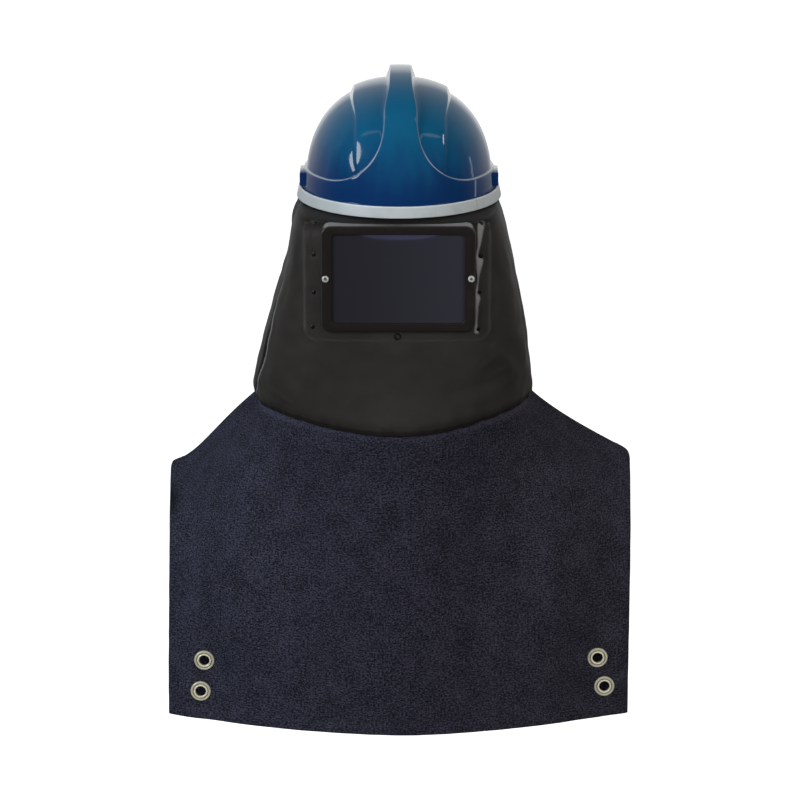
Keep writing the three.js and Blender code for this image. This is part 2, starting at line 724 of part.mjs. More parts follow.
function capeFront() {
  let wall = solid(wallOf(capeSurface(CAPE_FRONT), CAPE_WALL));
  for (const { x, z } of EYELETS) {
    const { point, normal } = capeFace(x, z);
    const reach = EYELET.bore + EYELET.barrel + GAP;
    const hole = new THREE.CylinderGeometry(reach, reach, 30, EYELET.segments);
    const place = aimed(new THREE.Mesh(hole), point, normal, 0);
    place.updateMatrix();
    wall = wall.subtract(solid(hole.applyMatrix4(place.matrix)));
  }
  return geometryOf(wall);
}

function capeBack() {
  return wallOf(capeSurface(CAPE_BACK), CAPE_WALL);
}

function eyelets() {
  const group = new THREE.Group();
  for (const { name, x, z } of EYELETS) {
    const { point, normal } = capeFace(x, z);
    group.add(aimed(meshNamed(name, eyelet(), "brass"), point, normal, 0));
  }
  return group;
}

// Flanged spigot through the back of the hood, with a barb round its end
function airInlet() {
  const { flange, flangeThickness, pipe, bore, length, inside } = INLET;
  const barb = pipe + 1.2;
  const ring = ringOf(
    [
      [bore, -inside],
      [pipe, -inside],
      [pipe, 0],
      [flange, 0],
      [flange, flangeThickness],
      [pipe, flangeThickness + 1.5],
      [pipe, length - 10],
      [barb, length - 6],
      [pipe, length],
      [bore, length],
    ],
    24,
  );
  const seat = hoodFace(0, INLET.z, 1).point;
  return aimed(meshNamed("air_inlet", ring, "plastic"), seat, new THREE.Vector3(0, 1, 0), HOOD_WALL / 2 + GAP + 0.6);
}

const hoodAssembly = new THREE.Group();
hoodAssembly.add(
  meshNamed("hat_shell", hatShell(), "hat"),
  meshNamed("rim_band", rimBand(), "band"),
  meshNamed("hood", hood(), "coated"),
  meshNamed("window_plate", windowPlate(), "plastic"),
  meshNamed("lens_frame", lensFrame(), "plastic"),
  meshNamed("lens", lens(), "glass"),
  windowFasteners(),
  meshNamed("cape_front", capeFront(), "denim"),
  meshNamed("cape_back", capeBack(), "denim"),
  eyelets(),
  airInlet(),
);

export default hoodAssembly;
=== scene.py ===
import math
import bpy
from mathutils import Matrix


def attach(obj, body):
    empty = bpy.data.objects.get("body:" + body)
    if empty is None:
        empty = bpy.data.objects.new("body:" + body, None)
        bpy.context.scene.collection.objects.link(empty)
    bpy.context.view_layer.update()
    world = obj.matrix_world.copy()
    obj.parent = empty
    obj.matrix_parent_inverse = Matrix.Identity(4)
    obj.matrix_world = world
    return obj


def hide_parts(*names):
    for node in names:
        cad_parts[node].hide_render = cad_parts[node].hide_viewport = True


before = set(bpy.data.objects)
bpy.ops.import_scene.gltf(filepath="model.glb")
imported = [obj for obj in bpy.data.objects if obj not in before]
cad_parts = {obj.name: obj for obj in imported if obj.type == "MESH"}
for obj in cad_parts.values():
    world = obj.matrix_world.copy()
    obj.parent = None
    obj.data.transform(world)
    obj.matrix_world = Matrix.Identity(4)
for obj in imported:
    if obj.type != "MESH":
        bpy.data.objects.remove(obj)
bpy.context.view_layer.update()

from types import SimpleNamespace as Values

import bmesh
import bpy
from bpy.props import FloatProperty, FloatVectorProperty, PointerProperty
from mathutils import Matrix, Quaternion, Vector, noise

bl_info = {
    "name": "Supplied-air hood",
    "version": (1, 0, 0),
    "blender": (4, 5, 0),
    "location": "3D View > Sidebar > Air Hood",
    "description": "Dresses a hard hat with a fabric hood, a lens window and a denim cape",
    "category": "Add Mesh",
}

MM = 0.001
BODY = "root"
HALVINGS = 40
MERGE_DISTANCE = 0.00001
BOX_FACES = [(0, 1, 2, 3), (4, 5, 6, 7), (0, 1, 5, 4), (1, 2, 6, 5), (2, 3, 7, 6), (3, 0, 4, 7)]
# Degrees past which an edge is sharp, and segments round each turned piece
SHARP = Values(hat=60, band=50, frame=50, lens=30, screw=40, inlet=35)
SEGMENTS = Values(flange=200, band=240, screw=40, rivet=28, hollow_rivet=36, eyelet=56, inlet=72)


def sizes(**millimetres):
    """Named sizes in metres, given in millimetres."""
    return Values(**{name: value * MM for name, value in millimetres.items()})


# Hat: its dome, lower band, crest and side panels, and the mesh's fineness
HAT_PLAN_POWER = 2.1
HAT_DOME_POWER = 2.32
HAT_WALL = 2.6 * MM
HAT_PANEL_CENTRE = 0.55
HAT_RIM_RAYS = 120
HAT_CREST_RAYS = 96
HAT_INNER_RINGS = 14
HAT_BAND_RISE = 3 * MM
HAT_BAND_TOP = 20 * MM
HAT_FLARE_RADIUS = 63 * MM
HAT_CREST_NARROWING = 3.8 * MM
HAT_CREST_TAPER = (85 * MM, 105 * MM)
HAT_LEAN = 1.6 * MM
HAT_CREST_FADE = (40 * MM, 105 * MM)
HAT_PANEL_FADE = (15 * MM, 95 * MM)
HAT_PANEL_FAINT = 0.7 * MM
HAT_PANEL_HALVES = Values(low=46.3 * MM, high=51.5 * MM, climb=(80 * MM, 100 * MM))
HAT_PANEL_STEPS = Values(low=2.2 * MM, high=9.5 * MM, climb=(70 * MM, 100 * MM))
HAT_RAISED_STEPS = Values(low=2.8 * MM, high=5 * MM, climb=(50 * MM, 90 * MM))
HAT_PANEL_ROOM = (1 * MM, 9 * MM)
# Heights over which the panel step's painted shade turns into a painted highlight
HAT_PAINTED_STEP_CLIMB = (70 * MM, 92 * MM)
HAT_RINGS = {"outer": 12, "panel step": 7, "panel": 9, "raised step": 9, "raised": 9}
HAT_PROBE = 0.01
# Painted step light: strength and spread of the painted highlight on the raised step, and its spread on the
# panel step
HAT_PAINTED_STEP_LIGHT = Values(raised=(0.62, 2.0), panel_spread=(2, 0.5))
# Heights over which the hat's blue is painted lighter towards the top, as painted light
HAT_PAINTED_TOP_LIGHT = (0.042, 0.128)
FLANGE = sizes(half_width=104.6, half_length=136.1, wall=6, top=1.3, bottom=-3, edge=1.2)
LUG = sizes(reach=107.2, inside=97, length=46, bottom=0.9, top=15.6, rim=5, recess=3, edge=1.1)

# Rim band: its ends meet at a butt joint on the front right
BAND = sizes(half_width=109.5, half_length=141, wall=2.4, top=0, edge=0.9)
BAND_LEAN = 0.22
# Heights below the band's top over which a painted highlight climbs along its upper edge
BAND_PAINTED_HIGHLIGHT = (-0.0018, -0.0004)
BAND_JOINT_TURN = math.radians(319.5)
BAND_JOINT_GAP = math.radians(0.22)

# Hood: sections from the rim (level 0) to the cape's seam (level 1), in millimetres
HOOD_TOP = -2 * MM
HOOD_SEAM = Values(left=-228.7 * MM, right=-226 * MM, front=-241 * MM, back=-236 * MM, power=6)
HOOD_COLUMNS = ("level", "left", "right", "front", "back", "front_power", "back_power")
HOOD_SECTIONS = (
    (0.0, 105.9, 105.9, 137.4, 137.4, 2.0, 2.0),
    (0.044, 105.9, 105.9, 137.4, 137.4, 2.0, 2.0),
    (0.056, 107.4, 106.4, 140.5, 138.0, 2.4, 2.0),
    (0.07, 109.2, 107.2, 147.0, 139.2, 3.7, 2.1),
    (0.14, 114.0, 112.6, 148.0, 142.0, 4.6, 2.5),
    (0.27, 118.2, 119.2, 148.4, 145.0, 4.8, 2.8),
    (0.4, 125.5, 125.2, 148.6, 146.0, 4.8, 3.0),
    (0.53, 134.5, 131.2, 149.0, 146.0, 4.6, 3.0),
    (0.665, 143.0, 137.2, 151.5, 146.5, 3.8, 2.8),
    (0.8, 151.3, 140.5, 157.0, 148.0, 3.0, 2.6),
    (0.9, 156.2, 143.5, 163.0, 150.0, 2.6, 2.4),
    (0.96, 157.6, 144.6, 166.5, 151.5, 2.35, 2.3),
    (1.0, 156.9, 143.7, 165.5, 151.0, 2.25, 2.2),
)
HOOD_TURNS = (
    (0, 66), (180, 22), (191, 84), (216, 20), (233, 28), (243, 62), (299, 20), (304, 44), (345, 20), (360, 0),
)
HOOD_LEVELS = ((0.0, 3), (0.044, 16), (0.1, 96), (0.92, 16), (1.0, 0))
HOOD_ROLL = Values(radius=0.8 * MM, steps=5, turn_up=4 * MM)
HOOD_PUFF = Values(level=0.965, reach=0.05, rise=0.5 * MM)
HOOD_GATHER = Values(level=0.88, turns=13.0, rise=1.6 * MM)
HOOD_PUCKER = Values(level=0.94, turns=28.0, rise=1.3 * MM)
HOOD_CRINKLE = Values(size=19 * MM, rise=1.1 * MM, levels=(0.1, 0.3))
HOOD_NOISE_HEIGHT = 0.35
NORMAL_STEP = 1.5 * MM
# Painted shade on the hood: under the band's rim, by height, and along the seam to the cape, by level, with
# their strengths
HOOD_PAINTED_SHADE = Values(rim=(-30 * MM, -17 * MM), rim_share=0.8, seam=(0.978, 0.99), seam_share=0.7)

# Lap on the left: the front layer's edge lies on the back layer, which shows beyond it. A painted highlight
# runs along the edge, and painted shade darkens the back layer behind it
HOOD_LAP = Values(
    recovery=6.0, lip=0.8 * MM, lip_reach=2.0, full=2 * MM,
    line=0.65, worn=1.0, shade=0.95, shade_reach=(10.0, 58.0),
)
HOOD_LAP_LEVELS = (0.3, 0.43, 0.56, 0.67, 0.81, 0.92, 1.0)
HOOD_LAP_TURNS = (213.9, 213.8, 213.5, 211.9, 207.0, 201.0, 195.0)
HOOD_LAP_STEPS = (0.0, 1.6, 3.4, 3.6, 3.4, 2.4, 0.6)

# Long folds round the hood: turns in degrees at their two ends, levels, width in degrees, rise in millimetres
FOLD_ENDS = 0.7
FOLD_COLUMNS = ("turn_high", "turn_low", "level_high", "level_low", "width", "rise")
HOOD_FOLDS = (
    (190.0, 188.0, 0.03, 0.17, 7.0, 1.8),
    (201.0, 196.0, 0.03, 0.3, 5.0, -2.2),
    (318.0, 342.0, 0.6, 0.97, 10.0, 1.8),
    (331.0, 335.0, 0.3, 0.72, 5.0, 1.6),
    (338.0, 343.0, 0.4, 0.8, 4.0, -1.4),
    (62.0, 52.0, 0.25, 1.05, 13.0, 4.0),
    (80.0, 74.0, 0.4, 1.05, 9.0, -3.0),
    (118.0, 127.0, 0.3, 1.05, 12.0, 4.0),
    (150.0, 158.0, 0.2, 1.0, 10.0, -3.0),
    (20.0, 14.0, 0.35, 1.0, 9.0, -2.5),
)

# Short creases seen from the front: their two ends in x and z, width and rise, in millimetres
CREASE_ENDS = 0.6
CREASE_COLUMNS = ("x0", "z0", "x1", "z1", "width", "rise")
HOOD_CREASES = (
    (-98.0, -22.0, -99.5, -92.0, 2.6, 1.3),
    (-104.0, -26.0, -108.0, -84.0, 3.5, -1.2),
    (-93.0, -18.0, -95.0, -60.0, 1.8, -0.8),
    (93.0, -20.0, 92.0, -128.0, 2.4, 1.0),
    (97.0, -20.0, 101.0, -120.0, 3.5, -1.0),
    (-101.0, -126.0, -88.0, -142.0, 1.6, 1.2),
    (-97.0, -140.0, -84.0, -145.0, 1.6, 1.0),
    (-94.0, -131.0, -86.0, -147.0, 1.5, -0.9),
    (98.0, -148.0, 130.0, -196.0, 6.0, 1.8),
    (84.0, -152.0, 118.0, -208.0, 7.0, -0.9),
    (92.0, -188.0, 124.0, -169.0, 2.6, 0.9),
    (100.0, -203.0, 134.0, -184.0, 2.6, 0.8),
    (84.0, -174.0, 110.0, -157.0, 2.4, 0.7),
    (66.0, -160.0, 88.0, -214.0, 9.0, 1.0),
    (-70.0, -158.0, 20.0, -166.0, 9.0, -0.9),
    (-136.0, -205.0, -112.0, -216.0, 3.0, 1.2),
    (-30.0, -222.0, -8.0, -236.0, 3.5, 1.0),
)

# Window: places in x and z from the hat's middle
FRAME = sizes(x=-0.8, z=-74.5, width=162.5, height=113.6, corner=10)
FRAME_FRONT = -156 * MM
FRAME_EDGE = 2.2 * MM
FRAME_FLARE = sizes(rise=0.5, reach=14)
FRAME_FORM = sizes(
    foot=0.5, lift=0.4, side=1.2, inner_edge=0.9, lens_gap=0.1, back_gap=0.2, lip=1, lip_wall=1.4, seat=4)
# Painted highlight on the frame's top ledge, paler towards the corners, and a faint one on its front rounding
FRAME_PAINTED_HIGHLIGHT = Values(reach=4 * MM, middle=0.2, corner=0.85, edge=0.06, loops=(2, 5))
LENS = sizes(x=-0.8, z=-74.3, width=140, height=94.8, corner=4.5)
LENS_FRONT = -153.4 * MM
LENS_WALL = 3 * MM
LENS_LEDGE = 2.6 * MM
LENS_EDGE = 0.5 * MM
LENS_PLAY = 0.3 * MM
# Places in x between which a painted reflection makes the lens paler towards the right
LENS_PAINTED_REFLECTION_SPAN = (-0.07, 0.09)
WINDOW_CUT = sizes(x=-0.8, z=-74, width=137, height=91, corner=6)
PLATE = sizes(x=-2.1, z=-79.8, width=195, height=122.4, corner=12)
PLATE_GRID = (60, 40)
PLATE_WALL = 2.2 * MM
PLATE_DEPTH = 1.6 * MM
# The plate's raised edge in the cloth, and a painted highlight line along it
PLATE_EMBOSS = Values(rise=1.5 * MM, reach=3.6 * MM, line=1.3 * MM, worn=0.12)
SCREWS = ((-77.5, -73.9), (76.2, -73.7))
SCREW = sizes(radius=3.8, height=2.3, foot=0.3, tip=0.2, arm=2.4, slot=0.75, recess=1.2, clear=1)
SCREW_SPIN = 0.7
RIVETS = (
    (-88.6, -19.8), (-89.3, -51.0), (-89.2, -91.0), (-90.6, -128.0),
    (86.4, -19.8), (85.7, -52.0), (84.5, -90.5), (83.4, -130.0),
)
RIVET = sizes(radius=3.3, height=1.7, root=0.6, rim=0.25, rim_top=0.45, tip=0.15, lift=0.5)
RIVET_DIMPLE = sizes(reach=5.5, rise=-1.1)
RIVET_STRIP = sizes(inner=4.2, outer=1.7, rise=2, pull=10)
# Painted highlight strip beside the right rivets: height, and its two edges from the line of rivets, in
# millimetres
PAINTED_HIGHLIGHT_STRIP = (
    (-18.5, -3.0, 2.8), (-21.0, -4.2, 3.8), (-26.0, -4.0, 2.2), (-40.0, -3.2, -0.4),
    (-52.0, -4.7, -2.8),
    (-56.5, -4.2, 3.0), (-66.0, -3.4, 0.8), (-76.0, -2.1, -0.7), (-86.0, -3.4, -1.2), (-91.5, -4.0, -1.7),
    (-95.5, -4.2, 1.2), (-105.0, -2.8, -0.2), (-114.0, -2.2, -0.4), (-124.0, -3.1, -0.9), (-134.0, -3.1, 0.2),
)
PAINTED_HIGHLIGHT_STRIP_EDGE = (-0.4 * MM, 0.5 * MM)
HOLLOW_RIVET = sizes(x=-1.6, z=-136.8, radius=3.8, bore=2, height=1.8, floor=2, step=2.2, root=2.8, lift=1.4)

# Cape: two panels that meet on the shoulders
CAPE_SHOULDER_SHARE = 1 / 6
CAPE_TIPS = {
    "left": Values(x=-250.8 * MM, z=-310 * MM, sag=9.4 * MM, power=2.2),
    "right": Values(x=253.8 * MM, z=-299 * MM, sag=5.7 * MM, power=0.7),
}
CAPE_OVERLAP = 0.9 * MM
CAPE_SWELL = Values(rise=15.5 * MM, centre=0.14, power=0.6)
CAPE_EASE = 4.5
CAPE_HEM_POWER = 1.65
CAPE_TUCK = Values(inward=3.4 * MM, up=5 * MM)
CAPE_TIP_ROUND = Values(share=0.02, down=0.03, move=1.8 * MM, drop=0.8)
CAPE_CORNER = Values(share=0.09, down=0.22, steps=6)
CAPE_CURL = sizes(reach=4, move=1.2)
CAPE_PANELS = {
    "front": Values(side=-1, hem=-585 * MM, half=253 * MM, centre=128 * MM, edge=50 * MM),
    "back": Values(side=1, hem=-604 * MM, half=247 * MM, centre=116 * MM, edge=42 * MM),
}
# Cut cloth: width and length in metres, and area in square metres
HOOD_CUT = Values(flat=(0.99, 0.246), area=0.221)
CAPE_CUTS = {
    "front": Values(flat=(0.56, 0.395), area=0.2),
    "back": Values(flat=(0.56, 0.408), area=0.206),
}
# Painted shade on a patch near the left edge below the shoulder tip: place, stretch, reach, core and strength
DENIM_PAINTED_SHADE = Values(
    place=(-0.25, 0.0, -0.209), scale=(1, 0.1, 0.6), reach=0.019, core=0.003, share=0.95,
)
CAPE_SHARES = ((0.0, 18), (0.032, 132), (0.968, 18), (1.0, 0))
CAPE_DOWNS = ((0.0, 10), (0.03, 110), (0.945, 18), (1.0, 0))
# Depths below the neck seam over which the painted highlight on the ridge there fades out
CAPE_RIDGE_HIGHLIGHT = (15.5 * MM, 10 * MM)
CAPE_WAVE = sizes(across=120, rise=3.2)
CAPE_WAVE_DOWNS = (0.15, 0.8)
CAPE_NOISE_HEIGHT = 2.7
CAPE_PUCKER = sizes(across=16, rise=0.5)
CAPE_HEM = sizes(rise=0.8, blend=0.8, dent=0.5, dent_reach=2)
STITCH = sizes(inset=2.2, lift=0.75, thickness=0.7)
STITCH_SHARE = 0.82
STITCH_TOP_ROW = 6
STITCH_SHOULDER = 0.96

EYELETS = ((-213.2, -517.0), (-217.6, -553.2), (217.6, -516.0), (225.6, -550.0))
EYELET_HOLE = 7.2 * MM
EYELET_FLAT = Values(reach=24 * MM, slope=0.1)
EYELET_POLISH = Values(
    height=(0.4 * MM, 1.6 * MM), groove=(8.2 * MM, 0.9 * MM), groove_share=0.6,
    outer=(7.4 * MM, 8.4 * MM), outer_share=0.38,
)
INLET_HEIGHT = -104 * MM
INLET_BASE = 147.8 * MM
INLET_HOLE = 19.5 * MM
HOLE_DEPTH = 50 * MM
INLET_PIPE = 20 * MM

# Colours with their alpha, and the depths between which a screw has no painted shade
# Painted highlight grey for the frame's top ledge
PAINTED_HIGHLIGHT_GREY = (0.34, 0.33, 0.325, 1)
ZINC = Values(bright=(0.75, 0.76, 0.74, 1), dull=(0.55, 0.57, 0.57, 1), dirt=(0.14, 0.14, 0.135, 1))
ZINC_UNSHADED = (FRAME_FRONT - 1 * MM, FRAME_FRONT - 1.7 * MM)

# Stage: camera, floor and room, in millimetres for the sensor and metres for the rest
SENSOR_WIDTH = 36
CLIP_END = 100
FLOOR_HALF = 40.0
ROOM = Values(power=1.3, level=(-0.3, 0.02), lower=0.3, core=(0.9, 0.99), core_share=0.4)
# Lights: name, shape, place, aim, width and height, roll in degrees, watts, colour, what they show in
WHITE = (1, 1, 1)
COOL = (0.92, 0.97, 1.0)
WARM = (1.0, 0.96, 0.91)
VIOLET = (0.42, 0.42, 1)
HAT_MIDDLE = (0, 0, 0.04)
LIGHTS = (
    ("key_left", "RECTANGLE", (-2.6, -2.1, 1.2), (0, 0, 0.6), (2.2, 2.4), 0, 93, COOL, "diffuse"),
    ("fill_right", "RECTANGLE", (2.4, -2.0, 1.0), (0, 0, 0.5), (1.8, 2.2), 0, 48, WARM, "diffuse"),
    ("front_card", "RECTANGLE", (0, -4.6, 1.4), (0, 0, 1.0), (3.0, 1.6), 0, 46, WHITE, "diffuse"),
    ("window_left", "ELLIPSE", (-2.56, -0.92, 1.28), HAT_MIDDLE, (0.95, 1.4), 28.5, 24, WHITE, "glossy"),
    ("window_right", "ELLIPSE", (2.4, -0.27, 1.78), HAT_MIDDLE, (0.24, 0.75), -45.7, 4, WHITE, "glossy"),
    ("ceiling_left", "ELLIPSE", (-1.6, -0.66, 2.47), HAT_MIDDLE, (1.35, 0.27), 52.5, 0.54, WHITE, "glossy"),
    ("ceiling_right", "ELLIPSE", (1.78, -0.72, 2.33), HAT_MIDDLE, (1.4, 0.27), -42.8, 0.84, WHITE, "glossy"),
    ("strip_right", "RECTANGLE", (2.7, 1.25, -0.05), HAT_MIDDLE, (0.15, 1.1), 0, 0.6, WHITE, "glossy"),
    ("lens_glow", "ELLIPSE", (0, -4.836, -0.94), (0, -4.836, 1), (0.186, 0.186), 0, 0.1, VIOLET, "glossy"),
)


def lerp(start, end, share):
    """Value at a share of the way from start to end."""
    return start + (end - start) * share


def smoothstep(value, low, high):
    """Smooth climb from 0 at low to 1 at high."""
    share = min(1.0, max(0.0, (value - low) / (high - low)))
    return share * share * (3 - 2 * share)


def hump(value, centre, reach):
    """Smooth hump of height 1 at the centre that ends at the reach."""
    away = abs(value - centre) / reach
    return 0.0 if away >= 1 else math.cos(away * math.pi / 2) ** 2


def spaced(stops):
    """Values from a list of (start, count of steps to the next start), the last one included."""
    values = []
    for (start, count), (end, _) in zip(stops, stops[1:]):
        values += [lerp(start, end, i / count) for i in range(count)]
    return values + [stops[-1][0]]


def smooth_through(places, values, place):
    """Value at a place on a curve through the values that never overshoots them."""
    index = max(0, min(len(places) - 2, sum(p <= place for p in places) - 1))

    def slope(i):
        if i <= 0 or i >= len(places) - 1:
            return 0.0
        before = (values[i] - values[i - 1]) / (places[i] - places[i - 1])
        after = (values[i + 1] - values[i]) / (places[i + 1] - places[i])
        return 0.0 if before * after <= 0 else 2 * before * after / (before + after)

    width = places[index + 1] - places[index]
    t = (place - places[index]) / width
    rise_start = slope(index) * width
    rise_end = slope(index + 1) * width
    return (
        values[index] * (1 + 2 * t) * (1 - t) ** 2
        + rise_start * t * (1 - t) ** 2
        + values[index + 1] * t * t * (3 - 2 * t)
        + rise_end * t * t * (t - 1)
    )


def named_rows(columns, rows):
    """Rows of a short table with named values."""
    return [Values(**dict(zip(columns, row))) for row in rows]


def squared_reach(turn, half_width, half_length, power):
    """Distance from the middle to a superellipse at a turn from +X."""
    across = abs(math.cos(turn)) / half_width
    along = abs(math.sin(turn)) / half_length
    return (across ** power + along ** power) ** (-1 / power)


class Wire:
    """A node's output that Python arithmetic can use: each operator adds one Math node."""

    def __init__(self, graph, socket):
        self.graph = graph
        self.socket = socket

    def math(self, operation, first, second):
        return self.graph.node("ShaderNodeMath", {"operation": operation}, {0: first, 1: second})

    def __add__(self, other):
        return self.math("ADD", self, other)

    def __radd__(self, other):
        return self.math("ADD", other, self)

    def __sub__(self, other):
        return self.math("SUBTRACT", self, other)

    def __mul__(self, other):
        return self.math("MULTIPLY", self, other)

    def __pow__(self, other):
        return self.math("POWER", self, other)


class Graph:
    """Builds one node tree. Every node comes from the node method."""

    def __init__(self, tree):
        self.tree = tree
        self.tree.nodes.clear()

    def node(self, kind, settings=None, inputs=None, output=0):
        """Adds a node, sets it up, fills its sockets and gives one output back."""
        made = self.tree.nodes.new(kind)
        for name, value in (settings or {}).items():
            setattr(made, name, value)
        for key, value in (inputs or {}).items():
            if isinstance(value, Wire):
                self.tree.links.new(value.socket, made.inputs[key])
            else:
                made.inputs[key].default_value = value
        return Wire(self, made.outputs[output]) if made.outputs else None

    def ramp(self, value, low, high):
        """Climb from 0 at low to 1 at high."""
        values = {"Value": value, "From Min": low, "From Max": high}
        return self.node("ShaderNodeMapRange", {"interpolation_type": "SMOOTHSTEP"}, values)

    def part(self, vector, axis):
        """One part of a vector."""
        return self.node("ShaderNodeSeparateXYZ", inputs={0: vector}, output=axis)


class Finish(Graph):
    """A material made of nodes, on object coordinates or the piece's own UV map."""

    def __init__(self, name):
        self.material = bpy.data.materials.new(name)
        self.material.use_nodes = True
        super().__init__(self.material.node_tree)

    def coordinates(self, kind="Object", scale=(1, 1, 1), turn=0.0):
        """Object coordinates, or UV, stretched by a scale and turned about Z."""
        output = {"Object": 3, "UV": 2}[kind]
        place = self.node("ShaderNodeTexCoord", output=output)
        return self.node("ShaderNodeMapping", inputs={0: place, "Rotation": (0, 0, turn), "Scale": scale})

    def noise(self, place, scale, detail=2.0, roughness=0.5):
        """Soft noise from 0 to 1."""
        values = {"Vector": place, "Scale": scale, "Detail": detail, "Roughness": roughness}
        return self.node("ShaderNodeTexNoise", {"noise_dimensions": "3D"}, values)

    def stored(self, name):
        """Value stored on the piece's points."""
        return self.node("ShaderNodeAttribute", {"attribute_name": name}, output="Fac")

    def mix(self, share, first, second):
        """Colour between two colours."""
        return self.node("ShaderNodeMix", {"data_type": "RGBA"}, {0: share, 6: first, 7: second}, output=2)

    def bump(self, height, distance, strength=1.0):
        """Normal of a surface with small relief."""
        values = {"Height": height, "Distance": distance, "Strength": strength}
        return self.node("ShaderNodeBump", inputs=values)

    def surface(self, **values):
        """Ends the material in one Principled shader. Names use _ for spaces."""
        inputs = {name.replace("_", " "): value for name, value in values.items()}
        shader = self.node("ShaderNodeBsdfPrincipled", inputs=inputs)
        self.node("ShaderNodeOutputMaterial", inputs={"Surface": shader})
        return self.material


def rgba(colour, times=1.0):
    """Colour with full alpha, made darker or lighter by a factor."""
    return (*(times * part for part in colour), 1.0)


def hat_finish(hat):
    """Glossy blue plastic with painted light: lighter towards the top and darker below, an upright mottle,
    painted highlights along the step edges, painted shade in the panel steps' lower lines, and scuffs.
    """
    finish = Finish("hat_gloss")
    place = finish.coordinates()
    height = finish.part(place, "Z")
    painted_step_light = finish.stored("painted_step_light")
    cloud = finish.noise(place, 14.0, 3.0)
    mottle = finish.noise(finish.coordinates(scale=(80, 80, 7)), 1.0, 2.0)
    smudge = finish.ramp(finish.noise(place, 42.0, 5.0, 0.65), 0.42, 0.72)
    scuff = finish.ramp(finish.noise(finish.coordinates(scale=(60, 500, 60), turn=0.5), 1.0, 2.0), 0.68, 0.8)
    # Painted light: the blue turns lighter towards the top and darker below
    climb = finish.ramp(height + cloud * 0.03 + mottle * 0.045, *HAT_PAINTED_TOP_LIGHT)
    shell = finish.mix(climb, rgba(hat.deep_colour), rgba(hat.colour))
    # Painted shade where the stored step light is below 0, painted highlight where it is above 0
    step_shaded = finish.mix(finish.ramp(painted_step_light, 0.0, -1.0), shell, rgba(hat.deep_colour, 0.35))
    return finish.surface(
        Base_Color=finish.mix(finish.ramp(painted_step_light, 0.0, 1.0), step_shaded, rgba(hat.step_highlight_colour)),
        Roughness=0.05 + smudge * 0.05 + scuff * 0.06,
        Normal=finish.bump(cloud, 0.0004, 0.3),
    )


def band_finish(band):
    """Pale satin plastic with faint drawn lines, handling marks and a painted highlight along the upper edge.
    """
    finish = Finish("band_satin")
    lines = finish.noise(finish.coordinates(scale=(20, 20, 900)), 1.0, 2.0)
    place = finish.coordinates()
    marks = finish.ramp(finish.noise(place, 60.0, 4.0), 0.5, 0.8)
    # Painted highlight along the band's upper edge
    upper = finish.ramp(finish.part(place, "Z"), *BAND_PAINTED_HIGHLIGHT)
    pale = rgba(band.colour)
    dull = rgba(band.colour, 0.8)
    return finish.surface(
        Base_Color=finish.mix(upper, finish.mix(marks * 0.6, pale, dull), rgba(band.colour, 1.4)),
        Roughness=0.34 + lines * 0.14,
        Normal=finish.bump(lines, 0.0001, 0.4),
    )


def hood_finish(hood):
    """Black coated cloth: semi-gloss skin over a fine weave, with rubbed patches, and painted highlights and
    painted shade where they are stored.
    """
    finish = Finish("coated_black")
    place = finish.coordinates()
    cloud = finish.noise(place, 14.0, 4.0, 0.6)
    grain = finish.noise(place, 1500.0, 2.0)
    ripple = finish.noise(place, 130.0, 3.0)
    rubbing_and_step_light = finish.ramp(cloud, 0.35, 0.7)
    height = grain * 0.25 + ripple
    coated = finish.mix(rubbing_and_step_light, rgba(hood.colour), rgba(hood.colour, 1.25))
    # Painted shade colour; the stored painted light mixes in a painted highlight grey above 0 and painted
    # shade below 0
    painted_shade = rgba(hood.colour, 0.3)
    worn = finish.stored("worn")
    return finish.surface(
        Base_Color=finish.mix(worn, finish.mix(worn * -1.0, coated, painted_shade), rgba(hood.painted_light_colour)),
        Roughness=0.4 + rubbing_and_step_light * 0.1 + grain * 0.06,
        Specular_IOR_Level=0.07,
        Normal=finish.bump(height, 0.0005, 0.3),
    )


def moulding_finish(name, colour, roughness):
    """Black moulded plastic with a spark-eroded grain, pale scuffs and a painted highlight grey where one is
    stored.
    """
    finish = Finish(name)
    place = finish.coordinates()
    grain = finish.noise(place, 2200.0, 2.0)
    wear = finish.ramp(finish.noise(place, 35.0, 5.0, 0.7), 0.5, 0.85)
    plastic = finish.mix(wear, rgba(colour), rgba(colour, 1.5))
    return finish.surface(
        Base_Color=finish.mix(finish.stored("worn"), plastic, PAINTED_HIGHLIGHT_GREY),
        Roughness=roughness + wear * 0.12,
        Specular_IOR_Level=0.4,
        Normal=finish.bump(grain, 0.00008, 0.5),
    )


def lens_finish(window):
    """Deeply tinted glass, polished, with faint wiping marks and a painted reflection that makes it paler
    towards the right.
    """
    finish = Finish("dark_lens_glass")
    wipes = finish.noise(finish.coordinates(scale=(30, 30, 90), turn=0.3), 1.0, 4.0)
    # Painted reflection: paler towards the right
    side = finish.ramp(finish.part(finish.coordinates(), "X"), *LENS_PAINTED_REFLECTION_SPAN)
    deep = rgba(window.lens_colour)
    pale = rgba(window.lens_colour, 1.55)
    return finish.surface(
        Base_Color=finish.mix(side, deep, pale),
        Roughness=0.01 + wipes * 0.006,
    )


def zinc_finish():
    """Bright zinc plate with turned marks, and painted shade in the recess and round the foot."""
    finish = Finish("zinc_plate")
    place = finish.coordinates()
    marks = finish.noise(place, 900.0, 3.0)
    cast = finish.noise(place, 300.0, 1.0)
    # Painted shade: darker in the cross recess and round the foot, by depth
    unshaded = finish.ramp(finish.part(place, "Y"), *ZINC_UNSHADED)
    plate = finish.mix(cast, ZINC.bright, ZINC.dull)
    return finish.surface(
        Base_Color=finish.mix(unshaded, ZINC.dirt, plate),
        Metallic=0.3,
        Roughness=0.2 + marks * 0.2,
    )


